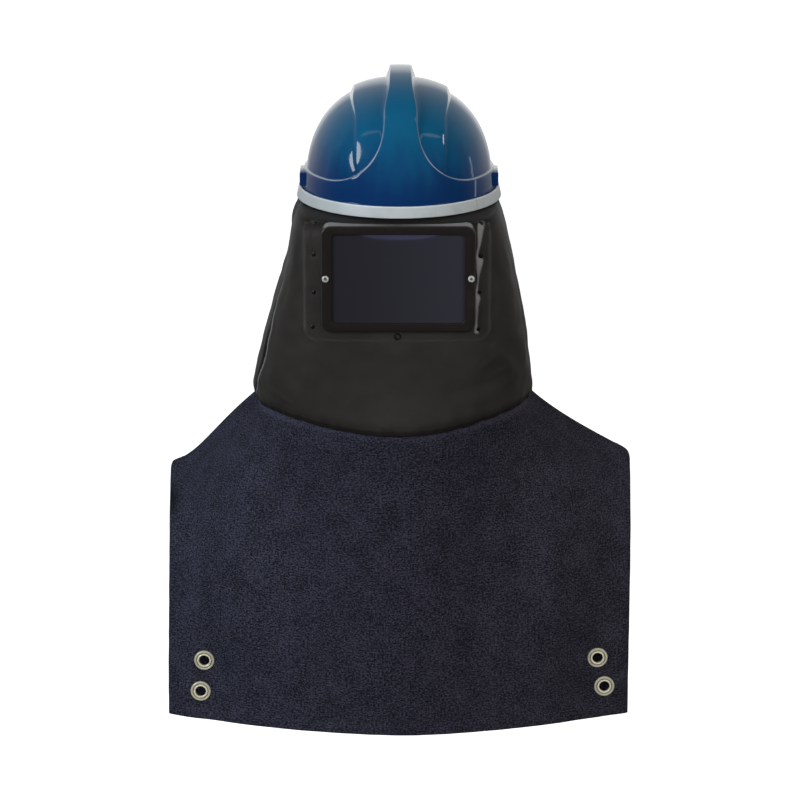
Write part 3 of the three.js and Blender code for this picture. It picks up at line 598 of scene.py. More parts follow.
def brass_finish(fittings):
    """Antique brass: polished pale gold on the rolls, brown tarnish in the groove and in patches."""
    finish = Finish("antique_brass")
    place = finish.coordinates()
    tarnish = finish.ramp(finish.noise(place, 180.0, 3.0, 0.6), 0.5, 0.9)
    speck = finish.noise(place, 1800.0, 2.0)
    gold = rgba(fittings.brass_colour)
    dull = rgba(fittings.brass_colour, 0.6)
    brown = rgba(fittings.tarnish_colour)
    return finish.surface(
        Base_Color=finish.mix(finish.stored("polish"), brown, finish.mix(tarnish, gold, dull)),
        Metallic=0.2,
        Roughness=0.16 + tarnish * 0.18 + speck * 0.08,
        Normal=finish.bump(speck, 0.0001, 0.4),
    )


def denim_finish(cape):
    """Indigo twill: dark warp, pale weft specks, slubs, diagonal ribs and fading; painted light and shade
    across the panel (paler and bluer on the left, darker in the middle), a painted highlight along the ridge
    below the neck seam and a patch of painted shade at the left edge.
    """
    finish = Finish("indigo_denim")
    threads = finish.coordinates("UV")
    grain = finish.noise(finish.coordinates("UV", scale=(1, 1.4, 1)), 430.0, 2.0, 0.6)
    warp_slub = finish.noise(finish.coordinates("UV", scale=(700, 120, 1)), 1.0, 2.0, 0.6)
    weft_slub = finish.noise(finish.coordinates("UV", scale=(110, 760, 1)), 1.0, 2.0, 0.6)
    fading_and_highlight = finish.ramp(finish.noise(threads, 9.0, 3.0, 0.5), 0.36, 0.64)
    rib_place = finish.coordinates("UV", turn=math.radians(63))
    rib = finish.node(
        "ShaderNodeTexWave",
        {"wave_type": "BANDS", "bands_direction": "X"},
        {"Vector": rib_place, "Scale": 220.0, "Distortion": 1.2, "Detail": 2.0, "Detail Scale": 3.0},
        output=1,
    )
    # Stored painted highlight along the ridge below the neck seam
    painted_ridge_highlight = finish.stored("worn")
    mottle = finish.noise(threads, 34.0, 3.0, 0.6)
    threads_seen = grain * 0.64 + weft_slub * 0.22 + warp_slub * 0.14 + painted_ridge_highlight * 0.06
    pale = finish.ramp(threads_seen + (mottle - 0.5) * 0.14, 0.4, 0.64)
    # Painted light and shade across the panel: weft paler and bluer on the left, darker in the middle, greyer
    # on the right
    across = finish.part(threads, "X") + fading_and_highlight * 0.05
    shaded_middle_weft = finish.mix(finish.ramp(across, 0.07, 0.2), rgba(cape.dark_weft), rgba(cape.neutral_weft))
    weft = finish.mix(finish.ramp(across, 0.02, -0.17), shaded_middle_weft, rgba(cape.weft))
    # Painted shade on a patch at the left edge
    near = finish.coordinates(scale=DENIM_PAINTED_SHADE.scale)
    ends = {0: near, 1: DENIM_PAINTED_SHADE.place}
    away = finish.node("ShaderNodeVectorMath", {"operation": "DISTANCE"}, ends, output=1)
    painted_edge_shade = finish.ramp(away + fading_and_highlight * 0.004, DENIM_PAINTED_SHADE.reach, DENIM_PAINTED_SHADE.core) * DENIM_PAINTED_SHADE.share
    return finish.surface(
        Base_Color=finish.mix(painted_edge_shade, finish.mix(pale, rgba(cape.indigo), weft), rgba(cape.indigo)),
        Roughness=0.85 + pale * 0.1,
        Specular_IOR_Level=0.1,
        Normal=finish.bump(rib * 0.5 + grain * 0.8 + weft_slub * 0.3, 0.0006, 0.6),
    )


def thread_finish(cape):
    """Sewing thread, a shade lighter than the denim."""
    finish = Finish("sewing_thread")
    twist = finish.noise(finish.coordinates(scale=(900, 900, 900)), 1.0, 1.0)
    return finish.surface(
        Base_Color=finish.mix(twist, rgba(cape.indigo), rgba(cape.weft)),
        Roughness=0.6 + twist * 0.2,
        Specular_IOR_Level=0.3,
    )


def floor_finish(stage):
    """Plain pale paper with the faintest unevenness, lit from below as a light table is."""
    finish = Finish("pale_floor")
    cloud = finish.noise(finish.coordinates(), 0.8, 2.0)
    pale = rgba(stage.floor_colour)
    return finish.surface(
        Base_Color=finish.mix(cloud, pale, rgba(stage.floor_colour, 0.985)),
        Roughness=0.9,
        Specular_IOR_Level=0.1,
        Emission_Color=pale,
        Emission_Strength=stage.floor_glow,
    )


def new_object(name, data):
    """An object of some data, linked to the scene."""
    made = bpy.data.objects.new(name, data)
    bpy.context.scene.collection.objects.link(made)
    return made


def shade_smooth(mesh, smooth=True):
    """Sets smooth or flat shading on every face."""
    mesh.polygons.foreach_set("use_smooth", [smooth] * len(mesh.polygons))


def mesh_object(name, points, faces, smooth=True):
    """A mesh object at the origin, linked to the scene."""
    mesh = bpy.data.meshes.new(name)
    mesh.from_pydata([tuple(p) for p in points], [], faces)
    mesh.validate()
    shade_smooth(mesh, smooth)
    return new_object(name, mesh)


def edit_mesh(piece, change):
    """Runs a change on a piece's mesh through bmesh."""
    mesh = bmesh.new()
    mesh.from_mesh(piece.data)
    change(mesh)
    mesh.to_mesh(piece.data)
    mesh.free()
    piece.data.update()


def merge_and_point_out(piece):
    """Merges doubles and points the faces of a closed mesh outwards."""

    def change(mesh):
        bmesh.ops.remove_doubles(mesh, verts=mesh.verts, dist=MERGE_DISTANCE)
        bmesh.ops.recalc_face_normals(mesh, faces=mesh.faces)

    edit_mesh(piece, change)


def sharpen(piece, angle_degrees):
    """Marks edges sharper than an angle, so that smooth shading stops there."""
    limit = math.radians(angle_degrees)

    def change(mesh):
        for edge in mesh.edges:
            edge.smooth = len(edge.link_faces) == 2 and edge.calc_face_angle(0) < limit

    edit_mesh(piece, change)


def store_values(piece, name, values):
    """Stores one value on each point, for the finish to read."""
    attribute = piece.data.attributes.new(name, "FLOAT", "POINT")
    attribute.data.foreach_set("value", values)


def closed_piece(name, points, faces, stored=None, sharp=None, smooth=True):
    """A closed mesh that faces outwards, with values stored on its points and sharp edges marked."""
    piece = mesh_object(name, points, faces, smooth)
    for label, values in (stored or {}).items():
        store_values(piece, label, values)
    merge_and_point_out(piece)
    if sharp:
        sharpen(piece, sharp)
    return piece


def applied_mesh(piece):
    """A new mesh of a piece with its modifiers applied."""
    evaluated = piece.evaluated_get(bpy.context.evaluated_depsgraph_get())
    return bpy.data.meshes.new_from_object(evaluated)


def grid_faces(rows, columns, closed, first=0):
    """Faces of a grid of rows by columns of points. A closed grid joins its last column to its first."""
    steps = columns if closed else columns - 1
    faces = []
    for row in range(rows - 1):
        for column in range(steps):
            a = first + row * columns + column
            b = first + row * columns + (column + 1) % columns
            faces.append((a, b, b + columns, a + columns))
    return faces


def tube_faces(rings, count, joined):
    """Faces of a tube of rings of points. Its last ring joins its first, or else both ends are capped."""
    faces = grid_faces(rings, count, True)
    last = (rings - 1) * count
    if joined:
        return faces + [(last + i, last + (i + 1) % count, (i + 1) % count, i) for i in range(count)]
    return faces + [tuple(range(count)), tuple(range(last, last + count))]


def lathe(profile, segments, closed=False):
    """Points and faces of a profile of (radius, height) turned about Z. A closed profile joins its ends."""
    points = []
    for radius, height in profile:
        for i in range(segments):
            turn = 2 * math.pi * i / segments
            points.append((radius * math.cos(turn), radius * math.sin(turn), height))
    return points, tube_faces(len(profile), segments, closed)


def arc(centre, radius, start, end, steps):
    """Points of an arc in a profile, angles in degrees."""
    points = []
    for i in range(steps + 1):
        angle = math.radians(lerp(start, end, i / steps))
        points.append((centre[0] + radius * math.cos(angle), centre[1] + radius * math.sin(angle)))
    return points


def rounded_outline(plate, grow=0.0, corner_steps=10, side_steps=14):
    """Points round a rectangle with round corners in x and z, anticlockwise from the front."""
    half_width = plate.width / 2 + grow
    half_height = plate.height / 2 + grow
    radius = max(0.0004, plate.corner + grow)
    inner_x = half_width - radius
    inner_z = half_height - radius
    corners = (
        (inner_x, -inner_z, -90), (inner_x, inner_z, 0), (-inner_x, inner_z, 90), (-inner_x, -inner_z, 180),
    )
    points = []
    for index, (x, z, start) in enumerate(corners):
        points += arc((x, z), radius, start, start + 90, corner_steps)
        next_x, next_z, next_start = corners[(index + 1) % 4]
        towards = arc((next_x, next_z), radius, next_start, next_start, 1)[0]
        last = points[-1]
        for step in range(1, side_steps):
            share = step / side_steps
            points.append((lerp(last[0], towards[0], share), lerp(last[1], towards[1], share)))
    return [(plate.x + x, plate.z + z) for x, z in points]


def outline_distance(plate, x, z):
    """Distance into a rectangle with round corners, negative outside it."""
    corner = plate.corner
    out_x = abs(x - plate.x) - (plate.width / 2 - corner)
    out_z = abs(z - plate.z) - (plate.height / 2 - corner)
    outside = math.hypot(max(out_x, 0), max(out_z, 0))
    return corner - outside - min(max(out_x, out_z), 0)


def finish_piece(piece, material, nodes=()):
    """Gives a piece its material, its body and the nodes that it stands for."""
    piece.data.materials.clear()
    piece.data.materials.append(material)
    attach(piece, BODY)
    if nodes:
        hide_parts(*nodes)
    return piece


def add_modifier(piece, kind, **settings):
    """Adds a modifier with its settings."""
    modifier = piece.modifiers.new(kind.title(), kind)
    for name, value in settings.items():
        setattr(modifier, name, value)
    return modifier


def node_group(name, inputs):
    """A geometry tree with named inputs: the tree, its graph and its input sockets by name."""
    tree = bpy.data.node_groups.new(name, "GeometryNodeTree")
    tree.interface.new_socket(name="Geometry", in_out="OUTPUT", socket_type="NodeSocketGeometry")
    sockets = {}
    for label, (kind, default) in {"Geometry": ("NodeSocketGeometry", None), **inputs}.items():
        sockets[label] = tree.interface.new_socket(name=label, in_out="INPUT", socket_type=kind)
        if default is not None:
            sockets[label].default_value = default
    graph = Graph(tree)
    entry = tree.nodes.new("NodeGroupInput")
    wires = {label: Wire(graph, entry.outputs[label]) for label in sockets}
    as_vector = {"data_type": "FLOAT_VECTOR"}
    wires["Aim"] = graph.node("GeometryNodeInputNamedAttribute", as_vector, {"Name": "aim"})
    return tree, graph, sockets, wires


def random_turn(graph, rotation, most, seed):
    """A rotation turned about its own Z by a random angle, up to the most either way."""
    values = {2: most * -1.0, 3: most, 8: seed}
    angle = graph.node("FunctionNodeRandomValue", {"data_type": "FLOAT"}, values, output=1)
    turn = graph.node("FunctionNodeAxisAngleToRotation", inputs={"Axis": (0, 0, 1), "Angle": angle})
    return graph.node("FunctionNodeRotateRotation", {"rotation_space": "LOCAL"}, {0: rotation, 1: turn})


def close_group(graph, points, template, rotation, material):
    """Ends a geometry tree: a real copy of the template on every point, in one material."""
    shape = graph.node("GeometryNodeObjectInfo", inputs={"Object": template}, output="Geometry")
    values = {"Points": points, "Instance": shape, "Rotation": rotation}
    placed = graph.node("GeometryNodeInstanceOnPoints", inputs=values)
    real = graph.node("GeometryNodeRealizeInstances", inputs={0: placed})
    dressed = graph.node("GeometryNodeSetMaterial", inputs={"Geometry": real, "Material": material})
    graph.node("NodeGroupOutput", inputs={0: dressed})


def heads_tree():
    """Geometry tree that sets a copy of a head on every point, aimed along the point's aim."""
    inputs = {
        "Head": ("NodeSocketObject", None),
        "Material": ("NodeSocketMaterial", None),
        "Spin": ("NodeSocketFloat", math.pi),
        "Seed": ("NodeSocketInt", 7),
    }
    tree, graph, sockets, wires = node_group("heads_on_points", inputs)
    upright = graph.node("FunctionNodeAlignRotationToVector", {"axis": "Z"}, {"Vector": wires["Aim"]})
    turned = random_turn(graph, upright, wires["Spin"], wires["Seed"])
    close_group(graph, wires["Geometry"], wires["Head"], turned, wires["Material"])
    return tree, sockets


def stitches_tree():
    """Geometry tree that lays stitches end to end along paths on the cloth."""
    inputs = {
        "Stitch": ("NodeSocketObject", None),
        "Material": ("NodeSocketMaterial", None),
        "Pitch": ("NodeSocketFloat", 0.0035),
        "Wander": ("NodeSocketFloat", 0.12),
        "Seed": ("NodeSocketInt", 3),
    }
    tree, graph, sockets, wires = node_group("stitches_on_paths", inputs)
    path = graph.node("GeometryNodeMeshToCurve", inputs={0: wires["Geometry"]})
    even = graph.node(
        "GeometryNodeResampleCurve", {"mode": "LENGTH"}, {"Curve": path, "Length": wires["Pitch"]}
    )
    along = graph.node("GeometryNodeInputTangent")
    lying = graph.node(
        "FunctionNodeAxesToRotation",
        {"primary_axis": "Z", "secondary_axis": "X"},
        {0: wires["Aim"], 1: along},
    )
    turned = random_turn(graph, lying, wires["Wander"], wires["Seed"])
    close_group(graph, even, wires["Stitch"], turned, wires["Material"])
    return tree, sockets


def grown_piece(name, points, aims, edges, tree_and_sockets, values, template):
    """Runs a geometry tree on points that have an aim, and keeps the result as a plain mesh."""
    tree, sockets = tree_and_sockets
    mesh = bpy.data.meshes.new(name + "_points")
    mesh.from_pydata([tuple(p) for p in points], edges, [])
    attribute = mesh.attributes.new("aim", "FLOAT_VECTOR", "POINT")
    attribute.data.foreach_set("vector", [value for aim in aims for value in aim])
    piece = new_object(name, mesh)
    modifier = piece.modifiers.new("Grow", "NODES")
    modifier.node_group = tree
    for label, value in values.items():
        modifier[sockets[label].identifier] = value
    grown = applied_mesh(piece)
    piece.modifiers.remove(modifier)
    piece.data = grown
    grown.name = name
    if "aim" in grown.attributes:
        grown.attributes.remove(grown.attributes["aim"])
    shade_smooth(grown)
    bpy.data.objects.remove(template)
    return piece


def heads_piece(name, head, places, tree_and_sockets, material, **values):
    """Copies of a head on places with their aims, as one piece."""
    points, aims = zip(*places)
    values |= {"Head": head, "Material": material}
    return grown_piece(name, points, aims, [], tree_and_sockets, values, head)


def dome_normal(hat, point):
    """Outward direction of the plain dome at a point on it."""
    across = abs(point.x) / hat.half_width
    along = abs(point.y) / hat.half_length
    up = max(0.0, point.z) / hat.height
    plan = across ** HAT_PLAN_POWER + along ** HAT_PLAN_POWER
    share = plan ** (HAT_DOME_POWER / HAT_PLAN_POWER - 1) if plan > 0 else 0.0
    normal = Vector((
        math.copysign(share * across ** (HAT_PLAN_POWER - 1), point.x) / hat.half_width,
        math.copysign(share * along ** (HAT_PLAN_POWER - 1), point.y) / hat.half_length,
        up ** (HAT_DOME_POWER - 1) / hat.height,
    ))
    return normal.normalized()


def dome_point(hat, across, along, rise=0.0):
    """Point of the dome from its chart, where the rim is the unit circle, lifted by a rise."""
    turn = math.atan2(along, across)
    climb = max(0.0, 1 - math.hypot(across, along)) * (math.pi / 2)
    reach = squared_reach(turn, hat.half_width, hat.half_length, HAT_PLAN_POWER)
    spread = reach * math.cos(climb) ** (2 / HAT_DOME_POWER)
    height = hat.height * math.sin(climb) ** (2 / HAT_DOME_POWER)
    point = Vector((spread * math.cos(turn), spread * math.sin(turn), height))
    return point + dome_normal(hat, point) * rise


def climbing(stops, height):
    """Value that changes from low to high as the height climbs."""
    return lerp(stops.low, stops.high, smoothstep(height, *stops.climb))


def is_raised(hat, point, lean):
    """True on the lower band and on the crest that flares into it, which leans to one side."""
    if point.z < HAT_BAND_TOP:
        return True
    half = hat.crest_half_width - HAT_CREST_NARROWING * smoothstep(point.z, *HAT_CREST_TAPER)
    below = HAT_BAND_TOP + HAT_FLARE_RADIUS - point.z
    if below > 0:
        half += HAT_FLARE_RADIUS - math.sqrt(HAT_FLARE_RADIUS ** 2 - below ** 2)
    return point.x - lean < half


def hat_rise(hat, height, panel_share, raised_share):
    """Height of the relief above the plain dome."""
    panel = HAT_PANEL_FAINT + (hat.panel_rise - HAT_PANEL_FAINT) * smoothstep(height, *HAT_PANEL_FADE)
    crest = HAT_BAND_RISE + (hat.crest_rise - HAT_BAND_RISE) * smoothstep(height, *HAT_CREST_FADE)
    return lerp(panel * panel_share, crest, raised_share)


def first_crossing(test, place_at):
    """Share of a ray at which a test first becomes true, found by halving."""
    low, high = 0.0, 1.0
    for _ in range(HALVINGS):
        middle = (low + high) / 2
        if test(place_at(middle)):
            high = middle
        else:
            low = middle
    return high


def hat_ray(hat, end, lean):
    """Points and painted step light values from the middle of a side panel over both steps to an end on the
    rim or the crest.
    """

    def chart(share):
        return lerp(HAT_PANEL_CENTRE, end[0], share), end[1] * share

    def place(share):
        return dome_point(hat, *chart(share))

    def step_share(share, width):
        low, high = max(0.0, share - HAT_PROBE), min(1.0, share + HAT_PROBE)
        return width * (high - low) / (2 * (place(high) - place(low)).length)

    edge = first_crossing(lambda p: is_raised(hat, p, lean), place)
    panel_edge = first_crossing(lambda p: p.x - lean < climbing(HAT_PANEL_HALVES, p.z), place)
    half_raised = step_share(edge, climbing(HAT_RAISED_STEPS, place(edge).z))
    edge = min(edge, 1 - 1.5 * half_raised)
    panel_edge = min(panel_edge, edge)
    present = smoothstep((place(edge) - place(panel_edge)).length, *HAT_PANEL_ROOM)
    half_panel = step_share(panel_edge, climbing(HAT_PANEL_STEPS, place(panel_edge).z))
    panel_edge = min(panel_edge, edge - 2 * half_raised - 2 * half_panel)
    climb = smoothstep(place(panel_edge).z, *HAT_PAINTED_STEP_CLIMB)
    # Painted step light on each step: a painted highlight on the raised step, and on the panel step painted
    # shade low down that turns into a painted highlight higher up
    rubbing_and_step_light = {
        "raised step": HAT_PAINTED_STEP_LIGHT.raised,
        "panel step": (lerp(-1, 1, climb) * present, lerp(*HAT_PAINTED_STEP_LIGHT.panel_spread, climb)),
    }
    stretches = (
        (0.0, panel_edge - half_panel, "outer", (0, 0), (0, 0)),
        (panel_edge - half_panel, panel_edge + half_panel, "panel step", (0, present), (0, 0)),
        (panel_edge + half_panel, edge - half_raised, "panel", (present, present), (0, 0)),
        (edge - half_raised, edge + half_raised, "raised step", (present, present), (0, 1)),
        (edge + half_raised, 1.0, "raised", (present, present), (1, 1)),
    )
    points = []
    for start, finish, name, panel, raised in stretches:
        count = HAT_RINGS[name]
        for i in range(1, count + 1):
            share = lerp(start, finish, i / count)
            along = smoothstep(i / count, 0, 1)
            height = place(share).z
            rise = hat_rise(hat, height, lerp(*panel, along), lerp(*raised, along))
            strength, spread = rubbing_and_step_light.get(name, (0.0, 1.0))
            painted_step_light = strength * max(0.0, math.sin(math.pi * i / count)) ** spread
            points.append((dome_point(hat, *chart(share), rise), painted_step_light))
    return points


def hat_ray_ends():
    """Ray ends round one half: along the rim, then back along the crest's middle line."""
    ends = []
    for i in range(HAT_RIM_RAYS):
        turn = lerp(-math.pi / 2, math.pi / 2, i / HAT_RIM_RAYS)
        ends.append((math.cos(turn), math.sin(turn)))
    for i in range(HAT_CREST_RAYS):
        ends.append((0.0, lerp(1, -1, i / HAT_CREST_RAYS)))
    return ends


def hat_half(hat, side):
    """Outer and inner faces of half the shell, as points, faces and painted step light values."""
    ends = hat_ray_ends()
    count = len(ends)
    outer = list(zip(*[hat_ray(hat, end, side * HAT_LEAN) for end in ends]))
    inner = []
    for ring in range(1, HAT_INNER_RINGS + 1):
        share = ring / HAT_INNER_RINGS
        inner.append([
            dome_point(hat, lerp(HAT_PANEL_CENTRE, x, share), y * share, -HAT_WALL) for x, y in ends
        ])
    points = [p for ring in outer for p, _ in ring] + [p for ring in reversed(inner) for p in ring]
    painted_step_lights = [painted_step_light for ring in outer for _, painted_step_light in ring]
    middle = [dome_point(hat, HAT_PANEL_CENTRE, 0), dome_point(hat, HAT_PANEL_CENTRE, 0, -HAT_WALL)]
    faces = grid_faces(len(outer), count, True) + grid_faces(len(inner), count, True, len(outer) * count)
    last = len(points)
    points += middle
    inner_start = (len(outer) + len(inner) - 1) * count
    for i in range(count):
        j = (i + 1) % count
        faces.append((last, i, j))
        faces.append((last + 1, inner_start + j, inner_start + i))
    rim_outer = (len(outer) - 1) * count
    rim_inner = len(outer) * count
    for i in range(HAT_RIM_RAYS):
        faces.append((rim_outer + i, rim_outer + i + 1, rim_inner + i + 1, rim_inner + i))
    painted_step_lights += [0.0] * (len(points) - len(painted_step_lights))
    return [Vector((side * p.x, p.y, p.z)) for p in points], faces, painted_step_lights


def add_lug(hat_piece, side):
    """Adds a slotted side lug to the hat's mesh."""

    def change(mesh):
        low = Vector((LUG.inside, -LUG.length / 2, LUG.bottom))
        high = Vector((LUG.reach, LUG.length / 2, LUG.top))
        size = high - low
        centre = (low + high) / 2
        place = Matrix.Translation((side * centre.x, centre.y, centre.z)) @ Matrix.Diagonal((*size, 1))
        cube = bmesh.ops.create_cube(mesh, size=1, matrix=place)
        faces = {face for vert in cube["verts"] for face in vert.link_faces}
        outside = max(faces, key=lambda face: side * face.calc_center_median().x)
        bmesh.ops.inset_individual(mesh, faces=[outside], thickness=LUG.rim, depth=0)
        pushed = bmesh.ops.extrude_discrete_faces(mesh, faces=[outside])["faces"]
        for vert in pushed[0].verts:
            vert.co.x -= side * LUG.recess
        edges = list({edge for vert in cube["verts"] for edge in vert.link_edges})
        bmesh.ops.bevel(mesh, geom=edges, offset=LUG.edge, segments=3, profile=0.5, affect="EDGES")

    edit_mesh(hat_piece, change)


def ring_strip(outline, section, start, end, segments):
    """Points and faces of a section of (outward, height) swept round an outline, with closed ends."""
    points = []
    for i in range(segments + 1):
        turn = lerp(start, end, i / segments)
        point, outward = outline(turn)
        for out, height in section:
            points.append((point[0] + outward[0] * out, point[1] + outward[1] * out, height))
    return points, tube_faces(segments + 1, len(section), False)


def ellipse_outline(half_width, half_length):
    """Function from a turn to an ellipse's point and its outward direction."""

    def at(turn):
        point = (half_width * math.cos(turn), half_length * math.sin(turn))
        outward = Vector((point[0] / half_width ** 2, point[1] / half_length ** 2)).normalized()
        return point, outward

    return at


def rounded_section(wall, bottom, top, radius, steps=4):
    """Section of a strip whose outer face is at 0, with round edges."""
    corners = (
        (-radius, top - radius, 0), (-wall + radius, top - radius, 90),
        (-wall + radius, bottom + radius, 180), (-radius, bottom + radius, 270),
    )
    section = []
    for out, height, start in corners:
        section += arc((out, height), radius, start, start + 90, steps)
    return section


def join_meshes(name, parts):
    """One object from several lists of points and faces."""
    points, faces = [], []
    for part_points, part_faces in parts:
        start = len(points)
        points += [Vector(p) for p in part_points]
        faces += [tuple(start + i for i in face) for face in part_faces]
    return mesh_object(name, points, faces)


class HoodShape:
    """The hood's surface, from its sections, folds and creases."""

    def __init__(self):
        self.rows = named_rows(HOOD_COLUMNS, HOOD_SECTIONS)
        self.levels = [row.level for row in self.rows]
        self.folds = named_rows(FOLD_COLUMNS, HOOD_FOLDS)
        self.creases = named_rows(CREASE_COLUMNS, HOOD_CREASES)
        self.right_heights = [-z * MM for x, z in RIVETS if x > 0]
        self.right_line = [x * MM for x, z in RIVETS if x > 0]
        self.sections = {}

    def section(self, level):
        """Smooth section at a level, in metres."""
        key = round(level, 6)
        if key not in self.sections:
            found = {}
            for name in HOOD_COLUMNS[1:]:
                value = smooth_through(self.levels, [getattr(row, name) for row in self.rows], key)
                found[name] = value if "power" in name else value * MM
            self.sections[key] = Values(**found)
        return self.sections[key]

    def seam(self, turn):
        """Height of the seam to the cape."""
        side = HOOD_SEAM.left if math.cos(turn) < 0 else HOOD_SEAM.right
        middle = HOOD_SEAM.front if math.sin(turn) < 0 else HOOD_SEAM.back
        return lerp(side, middle, abs(math.sin(turn)) ** HOOD_SEAM.power)

    def point(self, turn, level, rise=0.0):
        """Point of the plain surface, without folds."""
        section = self.section(level)
        half_width = section.left if math.cos(turn) < 0 else section.right
        front = math.sin(turn) < 0
        half_length = section.front if front else section.back
        power = section.front_power if front else section.back_power
        reach = squared_reach(turn, half_width, half_length, power) + rise
        height = lerp(HOOD_TOP, self.seam(turn), level)
        return Vector((reach * math.cos(turn), reach * math.sin(turn), height))

    def fold_rise(self, turn, level):
        """Push of the long folds."""
        push = 0.0
        degrees = math.degrees(turn) % 360
        for fold in self.folds:
            share = (level - fold.level_high) / (fold.level_low - fold.level_high)
            if 0 < share < 1:
                centre = lerp(fold.turn_high, fold.turn_low, share)
                swell = math.sin(math.pi * share) ** FOLD_ENDS
                push += fold.rise * MM * hump(degrees, centre, fold.width) * swell
        return push

    def lap_place(self, turn, level):
        """Degrees from the lap's line on the left, the lap's step there, and how far it is present."""
        level = min(max(level, HOOD_LAP_LEVELS[0]), HOOD_LAP_LEVELS[-1])
        edge = smooth_through(HOOD_LAP_LEVELS, HOOD_LAP_TURNS, level)
        step = smooth_through(HOOD_LAP_LEVELS, HOOD_LAP_STEPS, level) * MM
        return math.degrees(turn) % 360 - edge, step, min(1.0, step / HOOD_LAP.full)

    def lap_rise(self, turn, level):
        """Push of the lap on the left."""
        away, step, present = self.lap_place(turn, level)
        if away < 0:
            return -step * (1 - smoothstep(-away, 0, HOOD_LAP.recovery))
        return HOOD_LAP.lip * present * math.exp(-(away / HOOD_LAP.lip_reach) ** 2)

    def crease_rise(self, x, z):
        """Push of the short creases on the front."""
        push = 0.0
        for crease in self.creases:
            start = Vector((crease.x0, crease.z0)) * MM
            run = Vector((crease.x1, crease.z1)) * MM - start
            along = (Vector((x, z)) - start).dot(run) / run.length_squared
            if 0 < along < 1:
                away = (Vector((x, z)) - start - run * along).length / (crease.width * MM)
                push += crease.rise * MM * math.exp(-away * away) * math.sin(math.pi * along) ** CREASE_ENDS
        return push

    def fastening_rise(self, x, z):
        """Dimples at the rivets, and the loose strip that swells between those on the right."""
        push = 0.0
        near_right = 1.0
        for rivet_x, rivet_z in RIVETS:
            away = math.hypot(x - rivet_x * MM, z - rivet_z * MM)
            push += RIVET_DIMPLE.rise * math.exp(-(away / RIVET_DIMPLE.reach) ** 2)
            if rivet_x > 0:
                near_right *= 1 - math.exp(-(away / RIVET_STRIP.pull) ** 2)
        if self.right_heights[0] < -z < self.right_heights[-1]:
            middle = smooth_through(self.right_heights, self.right_line, -z)
            reach = RIVET_STRIP.inner if x < middle else RIVET_STRIP.outer
            push += RIVET_STRIP.rise * near_right * math.exp(-((x - middle) / reach) ** 2)
        return push

    def highlight_strip_share(self, point):
        """How far the painted highlight covers the strip beside the right rivets."""
        if point.y > 0 or not -PAINTED_HIGHLIGHT_STRIP[0][0] * MM < -point.z < -PAINTED_HIGHLIGHT_STRIP[-1][0] * MM:
            return 0.0
        heights = [-row[0] * MM for row in PAINTED_HIGHLIGHT_STRIP]
        middle = smooth_through(self.right_heights, self.right_line, -point.z)
        left, right = (smooth_through(heights, [row[i] * MM for row in PAINTED_HIGHLIGHT_STRIP], -point.z) for i in (1, 2))
        inside = min(point.x - middle - left, middle + right - point.x)
        return smoothstep(inside, *PAINTED_HIGHLIGHT_STRIP_EDGE)

    def painted_light_share(self, point):
        """Painted highlights on the strip, the lap's edge and the plate's edge, less the painted shade under
        the rim, behind the lap and at the seam.
        """
        turn = math.atan2(point.y, point.x)
        level = (point.z - HOOD_TOP) / (self.seam(turn) - HOOD_TOP)
        away, _, present = self.lap_place(turn, level)
        line = HOOD_LAP.worn * present * math.exp(-(away / HOOD_LAP.line - 1) ** 2)
        painted_shade = HOOD_PAINTED_SHADE.rim_share * smoothstep(point.z, *HOOD_PAINTED_SHADE.rim)
        if away < 0:
            painted_shade += HOOD_LAP.shade * present * (1 - smoothstep(-away, *HOOD_LAP.shade_reach))
        painted_shade += HOOD_PAINTED_SHADE.seam_share * smoothstep(level, *HOOD_PAINTED_SHADE.seam)
        if point.y < 0:
            inside = outline_distance(PLATE, point.x, point.z)
            line += PLATE_EMBOSS.worn * math.exp(-(inside / PLATE_EMBOSS.line) ** 2)
        strip = self.highlight_strip_share(point)
        return max(strip, line) - painted_shade * (1 - strip)

    def draped_point(self, turn, level):
        """Point of the finished cloth."""
        plain = self.point(turn, level)
        push = self.fold_rise(turn, level) + self.lap_rise(turn, level)
        crinkle = noise.noise(plain / HOOD_CRINKLE.size)
        push += HOOD_CRINKLE.rise * crinkle * smoothstep(level, *HOOD_CRINKLE.levels)
        around = Vector((math.cos(turn), math.sin(turn), HOOD_NOISE_HEIGHT))
        for gather in (HOOD_GATHER, HOOD_PUCKER):
            wave = noise.noise(around * gather.turns)
            push += gather.rise * wave * smoothstep(level, gather.level, 1) ** 2
        push += HOOD_PUFF.rise * hump(level, HOOD_PUFF.level, HOOD_PUFF.reach)
        if math.sin(turn) < 0:
            push += self.crease_rise(plain.x, plain.z)
            push += self.fastening_rise(plain.x, plain.z)
            inside = outline_distance(PLATE, plain.x, plain.z)
            half = PLATE_EMBOSS.reach / 2
            push += PLATE_EMBOSS.rise * smoothstep(inside, -half, half)
        return self.point(turn, level, push)

    def face(self, x, z, side=-1, rise=0.0):
        """Point of the plain surface at x and z, on the front (-1) or the back (1)."""
        low, high = (math.pi, 2 * math.pi) if side < 0 else (math.pi, 0.0)
        for _ in range(HALVINGS):
            turn = (low + high) / 2
            level = (z - HOOD_TOP) / (self.seam(turn) - HOOD_TOP)
            if self.point(turn, level).x < x:
                low = turn
            else:
                high = turn
        level = (z - HOOD_TOP) / (self.seam(low) - HOOD_TOP)
        return self.point(low, level, rise)

    def normal(self, x, z, side=-1):
        """Outward direction of the plain surface at x and z."""
        step = NORMAL_STEP
        across = self.face(x + step, z, side) - self.face(x - step, z, side)
        up = self.face(x, z + step, side) - self.face(x, z - step, side)
        outward = across.cross(up).normalized()
        return outward if outward.y * side > 0 else -outward


